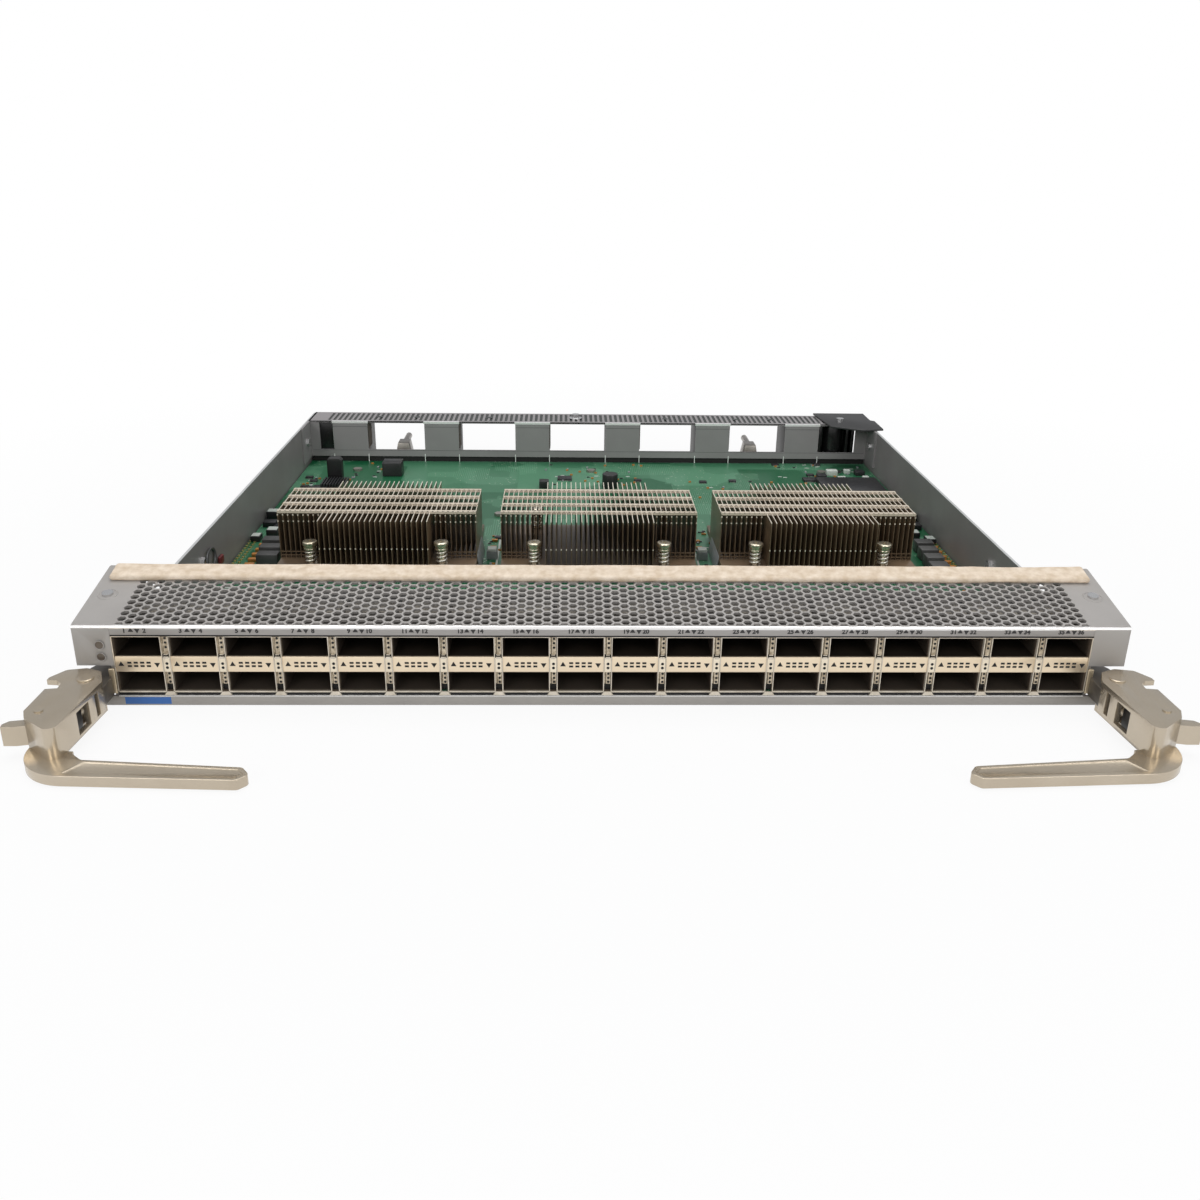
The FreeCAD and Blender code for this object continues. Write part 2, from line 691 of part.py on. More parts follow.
def folded_channel(left, right, back):
    """Plan of a sheet folded round a narrow column, open at the back."""
    sheet_thick = d.cage_sheet
    front = d.cage_front
    return [(left, front), (right, front), (right, back), (right - sheet_thick, back),
            (right - sheet_thick, front + sheet_thick), (left + sheet_thick, front + sheet_thick),
            (left + sheet_thick, back), (left, back)]


def make_heat_sink(number, middle):
    """A base plate with thin upright fins, short ones beside the screws, and ties across the top."""
    stack = new_body("fin_stack_%d" % number)
    half = d.sink_width / 2
    rear = d.sink_front + d.sink_depth
    plate = rectangle(middle - half, middle + half, d.sink_front, rear)
    pad(stack, "XY_Plane", [plate], chip_top, d.sink_base)
    count = d.fin_count_long + d.fin_count_short * 2
    pitch = (d.sink_width - d.fin_sheet) / (count - 1)
    left = middle - half
    right_first = left + pitch * (d.fin_count_short + d.fin_count_long)
    notch_front = d.sink_front + d.fin_notch
    notch_rear = rear - d.fin_notch
    long_first = left + pitch * d.fin_count_short
    sunk = d.sink_base / 2
    rows = [(left, notch_front, notch_rear, d.fin_count_short),
            (long_first, d.sink_front, rear, d.fin_count_long),
            (right_first, notch_front, notch_rear, d.fin_count_short)]
    for place, low, high, copies in rows:
        fin = pad(stack, "XY_Plane", [rectangle(place, place + d.fin_sheet, low, high)],
                  base_top - sunk, d.fin_height + sunk)
        pattern(stack, fin, "X_Axis", pitch, copies)
    hole = d.sink_screw_radius + d.running_gap * 6
    holes = [prism("sink_hole", 8, hole, d.sink_base + 2, x, y, chip_top - 1)
             for x, y in sink_screw_places(middle)]
    drilled = joined_cut("drilled_stack_%d" % number, stack, holes)

    ties = new_body("fin_ties_%d" % number)
    tie = pad(ties, "XY_Plane", [rectangle(left, middle + half, notch_front,
                                           notch_front + d.tie_depth)], fin_top, d.tie_height)
    spacing = (notch_rear - notch_front - d.tie_depth) / (d.tie_count - 1)
    pattern(ties, tie, "Y_Axis", spacing, d.tie_count)
    group("heat_sink_%d" % number, [drilled, ties])

    chip = new_body("switch_chip_%d" % number)
    centre = d.sink_front + d.sink_depth / 2
    side = d.chip_side / 2
    pad(chip, "XY_Plane", [rectangle(middle - side, middle + side, centre - side, centre + side)],
        board_top, d.chip_height)
    keep(chip)


def sink_screw_places(middle):
    """The four screw places of one heat sink."""
    rear = d.sink_front + d.sink_depth
    return [(middle + side * d.sink_screw_offset, depth)
            for side in (-1, 1)
            for depth in (d.sink_front + d.sink_screw_inset, rear - d.sink_screw_inset)]


def make_sink_fasteners(middles):
    """Shouldered screws that press the heat sinks down through coil springs."""
    places = [place for middle in middles for place in sink_screw_places(middle)]
    shank_top = base_top + d.spring_height
    group("heat_sink_screws",
          [screw("sink_screw", x, y, board_top + d.flat_gap, shank_top, d.sink_screw_radius,
                 d.sink_head_radius, d.sink_head_height) for x, y in places])
    springs = []
    for x, y in places:
        outer = prism("spring_outside", 8, d.spring_radius, d.spring_height, x, y, base_top)
        bore = prism("spring_bore", 8, d.spring_radius - d.spring_wall, d.spring_height + 2,
                     x, y, base_top - 1)
        springs.append(joined_cut("sink_spring", outer, [bore]))
    group("heat_sink_springs", springs)


def connector_middle(index):
    """Place of a backplane connector, one behind each panel of the rear frame."""
    return d.left_end_space - tray_inner + index * connector_pitch


def make_rear_frame():
    """The rear frame: a wall with windows, a slotted top and two end flanges."""
    body = new_body("rear_frame")
    profile = [(frame_plane, d.frame_bottom), (frame_back_face, d.frame_bottom),
               (frame_back_face, d.frame_top - d.cover_sheet),
               (frame_rear, d.frame_top - d.cover_sheet), (frame_rear, d.frame_top),
               (frame_plane, d.frame_top)]
    pad(body, "YZ_Plane", [profile], -tray_inner, tray_inner * 2)
    reach = frame_plane - d.flange_reach
    flanges = [rectangle(-tray_inner, -tray_inner + d.frame_sheet, reach, frame_rear),
               rectangle(tray_inner - d.frame_sheet, tray_inner, reach, frame_rear)]
    pad(body, "XY_Plane", flanges, d.frame_bottom, d.frame_top - d.frame_bottom)
    sill = d.window_sill
    head = d.frame_top - d.cover_sheet
    windows = [rectangle(side_slot_left, side_slot_left + d.side_slot_width, sill, head)]
    for index in range(5):
        left = connector_middle(index) + connector_half
        windows.append(rectangle(left, left + window_width, sill, head))
    last = connector_middle(5) + connector_half
    windows.append(rectangle(last, last + d.end_window_width, sill, head))
    pocket(body, "XZ_Plane", windows, frame_plane - 1, d.frame_sheet + 2)
    start = d.strip_end - tray_inner
    slot = rectangle(start, start + d.strip_slot_width, frame_back_face + d.strip_margin,
                     frame_rear - d.strip_margin)
    cut = pocket(body, "XY_Plane", [slot], head - 1, d.cover_sheet + 2)
    pattern(body, cut, "X_Axis", d.strip_slot_pitch, d.strip_slot_count)
    return keep(body)


def make_backplane_connectors():
    """Six upright connector blocks with rows of contact slots in their rear faces."""
    front = frame_back_face + d.connector_gap
    top = d.frame_top - d.cover_sheet - d.connector_gap
    for index in range(6):
        body = new_body("backplane_connector_%d" % (index + 1))
        middle = connector_middle(index)
        block = rectangle(middle - connector_half, middle + connector_half, front, connector_rear)
        pad(body, "XY_Plane", [block], board_top, top - board_top)
        first = middle - (d.contact_slot_count - 1) * d.contact_slot_pitch / 2
        slot = rectangle(first - d.contact_slot / 2, first + d.contact_slot / 2,
                         board_top + 2.0, top - 2.0)
        cut = pocket(body, "XZ_Plane", [slot], connector_rear - d.contact_depth,
                     d.contact_depth + 1)
        pattern(body, cut, "X_Axis", d.contact_slot_pitch, d.contact_slot_count)
        keep(body)


def make_guide_pins():
    """Two steel pins with tapered noses on base blocks, which guide the card onto its backplane."""
    base_front = frame_back_face + d.guide_base_gap
    base_rear = base_front + d.guide_base_depth
    nose_start = base_rear + d.guide_pin_length
    wide = d.guide_pin_radius * 2.8
    narrow = d.guide_pin_radius * 1.7
    backward = FreeCAD.Rotation(FreeCAD.Vector(1, 0, 0), -90)
    pins = []
    for label, middle in (("left", d.guide_pin_left), ("right", d.guide_pin_right)):
        base = new_body("guide_base_" + label)
        block = [(middle - wide, board_top), (middle + wide, board_top),
                 (middle + narrow, d.guide_pin_axis + d.guide_pin_radius),
                 (middle - narrow, d.guide_pin_axis + d.guide_pin_radius)]
        pad(base, "XZ_Plane", [block], base_front, d.guide_base_depth)
        shank = rod("guide_shank", d.guide_pin_radius, d.guide_pin_length + 2.0,
                    middle, base_rear - 2.0, d.guide_pin_axis, backward)
        nose = doc.addObject("Part::Loft", "guide_nose")
        nose.Sections = [ring("nose_root", 16, d.guide_pin_radius, middle, nose_start,
                              d.guide_pin_axis, backward),
                         ring("nose_tip", 16, d.guide_pin_radius * 0.35, middle,
                              nose_start + d.guide_pin_nose, d.guide_pin_axis, backward)]
        nose.Solid = True
        nose.Ruled = True
        pin = doc.addObject("Part::MultiFuse", "guide_pin_" + label)
        pin.Shapes = [base, shank, nose]
        pins.append(pin)
    return group("guide_pins", pins)


def make_power_connectors():
    """The slim power block at the left and the ribbed guide block behind the last window."""
    front = frame_back_face + d.connector_gap
    top = d.frame_top - d.cover_sheet - d.connector_gap
    left = new_body("power_connector_left")
    near = side_slot_left - 4.0
    far = connector_middle(0) - connector_half - d.connector_gap
    pad(left, "XY_Plane", [rectangle(near, far, front, frame_rear - 4.0)],
        board_top, top - board_top)
    mouth = rectangle(near + 1.5, far - 1.5, board_top + 2.5, top - 2.5)
    pocket(left, "XZ_Plane", [mouth], frame_rear - 10.0, 8.0)
    keep(left)

    right = new_body("power_connector_right")
    start = connector_middle(5) + connector_half + d.connector_gap
    width = d.end_window_width - d.connector_gap * 2
    pad(right, "XY_Plane", [rectangle(start, start + width, front + 8.0, frame_rear - 2.0)],
        board_top, top - board_top)
    column = ("circle", (start + width * 0.46, front + 7.2), 6.4)
    pad(right, "XY_Plane", [column], board_top, top - board_top)
    ribs = [rectangle(start, start + 2.0, front + 0.4, front + 9.0),
            rectangle(start + width - 5.6, start + width - 3.8, front + 0.4, front + 9.0),
            rectangle(start + width - 2.0, start + width, front + 0.4, front + 9.0)]
    pad(right, "XY_Plane", ribs, board_top, top - board_top)
    keep(right)


def make_corner_lid():
    """The thin dark plate that closes the rear right corner."""
    body = new_body("corner_lid")
    wall = tray_half
    outline = [(wall - 29.0, frame_plane - 9.0), (wall - 10.0, frame_plane - 19.0),
               (wall + 4.0, frame_plane - 16.0), (wall + 4.0, frame_plane + 7.0),
               (wall + 1.5, frame_plane + 9.0), (wall + 1.5, frame_rear + 3.0),
               (wall - 33.0, frame_rear + 3.0)]
    pad(body, "XY_Plane", [outline], d.frame_top, d.lid_sheet)
    return keep(body)


def make_frame_screws():
    """Screws of the rear frame, the lid and the cover, each standing on the face that it holds."""
    lid_top = d.frame_top + d.lid_sheet
    radius = d.board_screw_radius * 1.7
    height = radius * 0.55
    slot_middle = d.strip_end - tray_inner + d.strip_slot_width / 2
    bolt_place = slot_middle + d.strip_slot_pitch * 15.5
    inside = tray_inner - d.frame_sheet
    side_depth = frame_plane - d.flange_reach / 2
    depth = d.slope_run / 2 + 6.0
    rivet_place = face_half - 6.5
    across = FreeCAD.Rotation(FreeCAD.Vector(0, 1, 0), 90)
    tilt = FreeCAD.Rotation(FreeCAD.Vector(1, 0, 0), math.degrees(math.atan(slope.value)))
    heads = [prism("lid_screw", 8, radius, height * 1.3, tray_half - 19.6, frame_plane + 6.3, lid_top),
             prism("frame_bolt", 8, radius, height * 1.9, bolt_place, frame_plane + 14.2, d.frame_top)]
    for start, y, z in ((inside, side_depth, d.wall_screw_height),
                        (tray_inner, d.wall_screw_depth, d.wall_screw_height)):
        heads.append(prism("wall_screw", 8, radius, height, -start, y, z, across))
        heads.append(prism("wall_screw", 8, radius, height, start - height, y, z, across))
    for place in (-rivet_place, rivet_place):
        heads.append(prism("cover_rivet", 8, radius * 0.9, 0.9, place, depth, slope_height(depth), tilt))
    return group("frame_screws", heads)


def make_power_chokes():
    """Rows of square chokes on the board, outside the outer heat sinks."""
    body = new_body("power_chokes_left")
    half = d.choke_side / 2
    place = rectangle(-choke_reach - half, -choke_reach + half, d.choke_front,
                      d.choke_front + d.choke_side)
    first = pad(body, "XY_Plane", [place], board_top, d.choke_height)
    pattern(body, first, "Y_Axis", d.choke_pitch, d.choke_count)
    keep(body)
    mirror_part(body, "power_chokes_right")


def make_board_modules():
    """The tall and low black modules behind the heat sinks and the round metal post."""
    body = new_body("black_modules")
    depth = frame_plane - d.module_depth
    tall_left = -d.post_reach - 14.0
    tall_right = -d.post_reach - 5.0
    tall_top = board_top + 14.8
    pad(body, "XY_Plane", [rectangle(tall_left, tall_right, depth - 3.0, depth + 3.0)],
        board_top, tall_top - board_top)
    low_left = -d.post_reach + 18.0
    pad(body, "XY_Plane", [rectangle(low_left, low_left + 12.0, depth + 9.0, depth + 20.0)],
        board_top, 8.8)
    small_left = -d.sink_pitch / 2 + 21.4
    pad(body, "XY_Plane", [rectangle(small_left, small_left + 5.8, depth - 16.0, depth - 10.0)],
        board_top, 4.6)
    round_edges(body, "Y", [(tall_left, tall_top), (tall_right, tall_top)], 2.2)
    post = prism("metal_post", 16, 4.8, 8.7, 11.0, depth - 12.0, board_top)
    return group("board_modules", [body, post])


def around(centre, offsets):
    """Corners given as offsets from a pin."""
    x, y = centre
    return [(x + across, y + deep) for across, deep in offsets]


PIVOT = (-pivot_reach, -d.pivot_front)
TRIGGER_PIN = (-trigger_reach, -d.trigger_front)
lever_top = d.lever_bottom + d.lever_thick
roof_under = d.housing_top - d.housing_roof
lug_bottom = lever_top + d.flat_gap
lug_top = lug_bottom + d.lug_height


def pin_bores(body, low, height):
    """The two round holes that an ejector turns on."""
    pocket(body, "XY_Plane", [("circle", PIVOT, d.pivot_radius + d.running_gap),
                              ("circle", TRIGGER_PIN, d.trigger_radius + d.running_gap)],
           low, height)


def make_lever():
    """The lever: a flat bar with a round elbow and a long arm with a sunk panel."""
    body = new_body("ejector_lever_left")
    rear = around(PIVOT, [(7.4, 5.4), (-6.0, 5.4)])
    elbow = around(PIVOT, [(-9.6, -49.2)])
    tip = around(PIVOT, [(68.2, -52.9), (71.6, -49.1), (68.2, -44.3)])
    crook = around(PIVOT, [(11.6, -39.0), (6.8, -34.6)])
    side = around(PIVOT, [(-9.6, -1.2)])
    pad(body, "XY_Plane", [rear + side + elbow + tip + crook], d.lever_bottom, d.lever_thick)
    round_edges(body, "Z", elbow, 19.0)
    round_edges(body, "Z", crook, 2.4)
    round_edges(body, "Z", tip, 2.2)
    panel = around(PIVOT, [(9.0, -47.8), (66.8, -51.4), (69.6, -48.9), (66.8, -45.6), (13.4, -40.6)])
    pocket(body, "XY_Plane", [panel], lever_top - 0.4, 1.0)
    pin_bores(body, -1, d.lever_thick + 3)
    keep(body)
    mirror_part(body, "ejector_lever_right")


def make_housing():
    """The housing on a lever: a thin roof with a hooked claw, a windowed inner wall and a front."""
    body = new_body("ejector_housing_left")
    crown = around(PIVOT, [(3.6, 6.0), (-2.6, 8.9), (-9.7, 7.3), (-13.6, 0.8)])
    hook = around(PIVOT, [(-13.6, -1.4), (-9.8, -1.8), (-7.2, -4.4), (-7.0, -8.2), (-11.2, -8.9)])
    shoulder = around(PIVOT, [(-11.4, -26.1), (-9.0, -31.4)])
    corner = around(PIVOT, [(4.2, -42.5)])
    wall_end = around(PIVOT, [(7.0, -2.6)])
    pad(body, "XY_Plane", [wall_end + crown + hook + shoulder + corner], roof_under, d.housing_roof)
    round_edges(body, "Z", crown, 2.2)
    thick = d.housing_wall
    outer_wall = around(PIVOT, [(-11.2, -9.6), (-11.4, -20.6), (thick - 11.4, -20.6),
                                (thick - 11.2, -9.6)])
    inner_wall = around(PIVOT, [(-9.0, -31.4), (4.2, -42.5), (7.0, -2.6), (7.0 - thick, -2.6),
                                (2.4, -38.4), (-7.7, -29.9)])
    pad(body, "XY_Plane", [outer_wall, inner_wall], lever_top, roof_under - lever_top)
    round_edges(body, "Z", corner, 3.0)
    x, y = PIVOT
    low = lever_top + 1.0
    high = roof_under - 0.2
    windows = [rectangle(y - 23.6, y - 14.4, low, high), rectangle(y - 9.6, y - 6.8, low, high)]
    pocket(body, "YZ_Plane", windows, x + 2.0, 8.0)
    pin_bores(body, roof_under - 1, d.housing_roof + 3)
    keep(body)
    mirror_part(body, "ejector_housing_right")


def make_lug():
    """The lug that the lever turns on, fixed to the outside of the end bracket's inner wall."""
    body = new_body("ejector_lug_left")
    x, y = PIVOT
    radius = d.lug_radius
    wall_face = -bracket_wall_outer
    tongue = [(x + radius, y), (x + radius, -1.2), (wall_face, -0.4), (wall_face, 26.0),
              (wall_face - 2.0, 26.0), (x - radius, 8.0), (x - radius, y)]
    pad(body, "XY_Plane", [tongue], lug_bottom, d.lug_height)
    pad(body, "XY_Plane", [("circle", PIVOT, radius)], lug_bottom, d.lug_height)
    pocket(body, "XY_Plane", [("circle", PIVOT, d.pivot_radius + 0.01)],
           lug_bottom - 1, d.lug_height + 2)
    keep(body)
    mirror_part(body, "ejector_lug_right")


def make_pins():
    """The pivot pin with its flat head, the trigger's pin and the trigger's spring."""
    x, y = PIVOT
    shank_top = d.housing_top + d.running_gap
    shank = rod("pivot_shank", d.pivot_radius, shank_top - d.lever_bottom, x, y, d.lever_bottom,
                FreeCAD.Rotation())
    head = prism("pivot_head", 16, d.pivot_radius * 1.25, 0.4, x, y, shank_top)
    pivot = doc.addObject("Part::Fuse", "pivot_pin_left")
    pivot.Base = shank
    pivot.Tool = head
    keep(pivot, "pivot_pin_left")
    mirror_part(pivot, "pivot_pin_right")
    x, y = TRIGGER_PIN
    rivet = rod("trigger_pin_left", d.trigger_radius, d.housing_top + 0.1 - d.lever_bottom,
                x, y, d.lever_bottom + 0.2, FreeCAD.Rotation())
    keep(rivet, "trigger_pin_left")
    mirror_part(rivet, "trigger_pin_right")
    inside = d.trigger_radius + 0.2
    outer = prism("trigger_coil", 12, inside + 0.55, 1.5, x, y, lug_top - 1.7)
    bore = prism("trigger_coil_bore", 12, inside, 3.0, x, y, lug_top - 2.4)
    spring = joined_cut("trigger_spring_left", outer, [bore])
    keep(spring, "trigger_spring_left")
    mirror_part(spring, "trigger_spring_right")


def make_trigger():
    """The trigger: a nose behind the lug, a hub on its pin and a tail for the thumb."""
    body = new_body("ejector_trigger_left")
    nose = around(TRIGGER_PIN, [(-3.0, 2.6), (3.4, 16.6), (4.6, 19.6), (7.6, 19.6), (7.0, 15.6)])
    hub = around(TRIGGER_PIN, [(3.2, -1.8), (0, -3.4), (-4.6, -3.2), (-7.6, -4.0)])
    tail = around(TRIGGER_PIN, [(-12.3, -4.0), (-12.6, -1.8), (-11.0, 0.5), (-6.4, 1.5)])
    pad(body, "XY_Plane", [nose + hub + tail], lug_bottom, d.lug_height)
    x, y = TRIGGER_PIN
    pocket(body, "XY_Plane", [("circle", TRIGGER_PIN, d.trigger_radius + d.running_gap)],
           lug_bottom - 1, d.lug_height + 2)
    relief = rectangle(x - 2.9, x + 2.9, y - 2.6, y + 2.9)
    pocket(body, "XY_Plane", [relief], lug_top - 2.0, 3.0)
    keep(body)
    mirror_part(body, "ejector_trigger_right")


def make_ejectors():
    """Both ejectors: each sub-part is made for the left one and mirrored."""
    make_lever()
    make_housing()
    make_lug()
    make_pins()
    make_trigger()


def build():
    """Makes every sub-part in turn."""
    make_base_pan()
    make_circuit_board()
    make_board_screws()
    make_front_cover()
    make_end_brackets()
    make_gasket()
    make_status_lights()
    for number, shift in ((1, -1), (2, 0), (3, 1)):
        make_cage(number, cage_pitch * shift)
        make_heat_sink(number, d.sink_pitch * shift)
    make_sink_fasteners([d.sink_pitch * shift for shift in (-1, 0, 1)])
    make_rear_frame()
    make_backplane_connectors()
    make_guide_pins()
    make_power_connectors()
    make_corner_lid()
    make_frame_screws()
    make_power_chokes()
    make_board_modules()
    make_ejectors()


def write_parts():
    """Checks every object and sub-part, then writes one file for each sub-part."""
    doc.recompute()
    for thing in doc.Objects:
        if "Invalid" in thing.State or "Error" in thing.State:
            raise ValueError("%s failed: %s" % (thing.Label, thing.State))
    os.makedirs("parts", exist_ok=True)
    for thing in PARTS:
        shape = thing.Shape
        if shape.isNull() or not shape.isValid() or not shape.Solids:
            raise ValueError("%s has no valid shape" % thing.Label)
        shape.exportStep("parts/%s.step" % thing.Label)
        print("%-28s solids %2d  volume %10.1f" % (thing.Label, len(shape.Solids), shape.Volume))
    print("parts", len(PARTS))


build()
write_parts()
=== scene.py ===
# %% [markdown]
# A switch line card, dressed step by step
#
# The solids of the card come from its engineering model, and each one already sits where it belongs.
# This lesson gives them their surfaces, and adds what is too fine for the solids: the small hexagons
# of the sloping sheet, the printed port numbers, the coils of the springs and the parts on the board.
# Every piece is made from a primitive that is shaped in edit mode or with modifiers, as by hand.

# %% Load the solids
import math
import random

import bpy
from mathutils import Matrix, Vector


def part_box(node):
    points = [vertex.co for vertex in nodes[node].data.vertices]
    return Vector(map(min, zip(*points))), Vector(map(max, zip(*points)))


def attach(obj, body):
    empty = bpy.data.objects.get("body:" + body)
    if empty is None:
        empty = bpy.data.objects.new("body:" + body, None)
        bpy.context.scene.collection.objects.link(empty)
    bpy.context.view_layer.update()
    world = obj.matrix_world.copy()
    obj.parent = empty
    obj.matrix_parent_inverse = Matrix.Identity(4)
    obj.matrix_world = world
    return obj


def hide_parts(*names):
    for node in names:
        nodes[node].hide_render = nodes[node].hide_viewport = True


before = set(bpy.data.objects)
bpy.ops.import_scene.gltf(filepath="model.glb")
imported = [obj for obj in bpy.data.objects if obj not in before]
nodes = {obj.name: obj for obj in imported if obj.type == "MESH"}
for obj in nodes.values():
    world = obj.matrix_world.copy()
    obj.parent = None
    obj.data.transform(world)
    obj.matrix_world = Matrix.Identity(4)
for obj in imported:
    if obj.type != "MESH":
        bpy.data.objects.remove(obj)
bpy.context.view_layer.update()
MM = 0.001
print("solids loaded:", len(nodes))

# %% [markdown]
# Blender's operators act on whatever is selected, so each step starts from an empty selection. A few
# short helpers cover nearly all of the modelling: a box between two corners, a round bar, a bevel, a
# row of copies, a boolean cut and a join. Sizes are written in millimetres, and the helpers turn them
# into metres. A finished piece has its place in its mesh and its object at the origin.

# %% Selecting, and applying what was changed
def clear_selection():
    """Leaves edit mode and deselects everything."""
    if bpy.context.object and bpy.context.object.mode != "OBJECT":
        bpy.ops.object.mode_set(mode="OBJECT")
    bpy.ops.object.select_all(action="DESELECT")


def pick(*things):
    """Selects the given objects, and makes the first one active."""
    clear_selection()
    for thing in things:
        thing.select_set(True)
    bpy.context.view_layer.objects.active = things[0]


def settle(thing):
    """Moves an object's place, turn and scale into its mesh."""
    pick(thing)
    bpy.ops.object.transform_apply(location=True, rotation=True, scale=True)
    return thing


def apply_all(thing):
    """Applies every modifier in order."""
    pick(thing)
    for modifier in list(thing.modifiers):
        bpy.ops.object.modifier_apply(modifier=modifier.name)
    return thing


# %% Starting shapes
def slab(name, low, high):
    """A box between two corners."""
    middle = [(a + b) / 2 * MM for a, b in zip(low, high)]
    clear_selection()
    bpy.ops.mesh.primitive_cube_add(size=1, location=middle)
    thing = bpy.context.object
    thing.name = name
    thing.scale = [(b - a) * MM for a, b in zip(low, high)]
    return settle(thing)


def plank(name, middle, half, depths, heights):
    """A box given by its middle and half its width, and by its ranges in depth and height."""
    return slab(name, (middle - half, depths[0], heights[0]), (middle + half, depths[1], heights[1]))


TURNS = {"X": (0, math.pi / 2, 0), "Y": (-math.pi / 2, 0, 0), "Z": (0, 0, 0)}


def bar(name, radius, start, length, along="Z", sides=32, tip=None):
    """A round bar, or a cone where the tip has another radius, from a start point along an axis."""
    way = Vector([1.0 if along == axis else 0.0 for axis in "XYZ"])
    middle = (Vector(start) + way * length / 2) * MM
    end = radius if tip is None else tip
    clear_selection()
    bpy.ops.mesh.primitive_cone_add(vertices=sides, radius1=radius * MM, radius2=end * MM,
                                    depth=length * MM, location=middle, rotation=TURNS[along])
    thing = bpy.context.object
    thing.name = name
    return settle(thing)


def torus(name, radius, wire, place, turn=(0, 0, 0), segments=44):
    """A ring of round wire."""
    clear_selection()
    bpy.ops.mesh.primitive_torus_add(major_radius=radius * MM, minor_radius=wire * MM,
                                     major_segments=segments, minor_segments=10,
                                     location=[v * MM for v in place], rotation=turn)
    thing = bpy.context.object
    thing.name = name
    return settle(thing)


# %% Shaping and repeating
def soften(thing, width, segments=2, angle=30):
    """Rounds the edges that are sharper than an angle."""
    modifier = thing.modifiers.new("soften", "BEVEL")
    modifier.width = width * MM
    modifier.segments = segments
    modifier.limit_method = "ANGLE"
    modifier.angle_limit = math.radians(angle)
    modifier.harden_normals = False
    return apply_all(thing)


def row(thing, count, step):
    """Repeats a shape in a row with a constant step, as more faces of the same mesh."""
    modifier = thing.modifiers.new("row", "ARRAY")
    modifier.use_relative_offset = False
    modifier.use_constant_offset = True
    modifier.constant_offset_displace = [v * MM for v in step]
    modifier.count = count
    return apply_all(thing)


def twin(thing, name, move=(0, 0, 0)):
    """A copy with its own mesh, moved by some millimetres."""
    pick(thing)
    bpy.ops.object.duplicate(linked=False)
    copy = bpy.context.object
    copy.name = name
    copy.location = [v * MM for v in move]
    return settle(copy)


def join(name, things):
    """Joins objects into one."""
    pick(*things)
    if len(things) > 1:
        bpy.ops.object.join()
    things[0].name = name
    return things[0]


def cut(thing, tool):
    """Takes one shape out of another, and deletes the tool."""
    modifier = thing.modifiers.new("cut", "BOOLEAN")
    modifier.operation = "DIFFERENCE"
    modifier.solver = "EXACT"
    modifier.object = tool
    apply_all(thing)
    bpy.data.objects.remove(tool)
    return thing


def turned(thing, degrees, axis, centre=(0, 0, 0)):
    """Turns a shape about a point, by the right-hand rule."""
    pick(thing)
    about = Vector(centre) * MM
    matrix = Matrix.Translation(about) @ Matrix.Rotation(math.radians(degrees), 4, axis)
    thing.matrix_world = matrix @ Matrix.Translation(-about) @ thing.matrix_world
    return settle(thing)


def moved(thing, move):
    """Shifts a shape by some millimetres."""
    pick(thing)
    thing.location = [v * MM for v in move]
    return settle(thing)


def stretched(thing, factor, depth):
    """Makes a shape longer or shorter in depth about a plane."""
    thing.scale = (1, factor, 1)
    thing.location = (0, depth * (1 - factor) * MM, 0)
    return settle(thing)


def outward(thing):
    """Makes every face point away from the material."""
    pick(thing)
    bpy.ops.object.mode_set(mode="EDIT")
    bpy.ops.mesh.select_all(action="SELECT")
    bpy.ops.mesh.normals_make_consistent(inside=False)
    bpy.ops.object.mode_set(mode="OBJECT")
    return thing


# %% [markdown]
# The finish helper says three things about a piece: which moving body carries it, which finish from
# the table it gets, and which solids it stands for. It also smooths the shading across shallow edges.

# %% Finishing a piece
count_of_triangles = {}
finishes = {}


def finish(thing, look, slot, *stands_for, body="card", smooth=32):
    """Gives a piece its material, its body and the solids that it stands for."""
    thing.data.materials.clear()
    thing.data.materials.append(finishes[look])
    pick(thing)
    bpy.ops.object.shade_smooth_by_angle(angle=math.radians(smooth))
    for modifier in list(thing.modifiers):
        bpy.ops.object.modifier_apply(modifier=modifier.name)
    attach(thing, body)
    if stands_for:
        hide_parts(*stands_for)
    thing.data.calc_loop_triangles()
    count_of_triangles[thing.name] = len(thing.data.loop_triangles)
    return thing


def copied_solid(node, name, width, segments=2, angle=25):
    """A copy of a solid with its triangles merged into flat faces and its edges rounded."""
    pick(nodes[node])
    bpy.ops.object.duplicate(linked=False)
    copy = bpy.context.object
    copy.parent = None
    copy.name = name
    for key in list(copy.keys()):
        del copy[key]
    bpy.ops.object.mode_set(mode="EDIT")
    bpy.ops.mesh.select_all(action="SELECT")
    bpy.ops.mesh.remove_doubles(threshold=1e-6)
    bpy.ops.mesh.normals_make_consistent(inside=False)
    bpy.ops.mesh.dissolve_limited(angle_limit=math.radians(1.0))
    bpy.ops.object.mode_set(mode="OBJECT")
    if width:
        soften(copy, width, segments, angle)
    return copy


# %% [markdown]
# Colours are written as the eye reads them on a screen, from 0 to 255, and turned into the linear
# values that a shader works with. Two things make a plain colour look like a real surface: a slow
# drift of tone over the piece, and a fine grain that roughens the gloss and lifts the surface a
# little. Both are used nearly everywhere, so they are node groups with their own inputs.

# %% Colour helper
def tone(red, green, blue):
    """A screen colour as linear values."""
    values = []
    for part in (red, green, blue):
        share = part / 255
        values.append(share / 12.92 if share <= 0.04045 else ((share + 0.055) / 1.055) ** 2.4)
    return (*values, 1.0)


# %% Node helpers
FLOAT = "NodeSocketFloat"
COLOUR = "NodeSocketColor"
VECTOR = "NodeSocketVector"


def feed(tree, target, sockets):
    """Gives sockets of a node their values, or links from other nodes' outputs."""
    for key, value in sockets.items():
        if isinstance(value, bpy.types.NodeSocket):
            tree.links.new(value, target.inputs[key])
        else:
            target.inputs[key].default_value = value


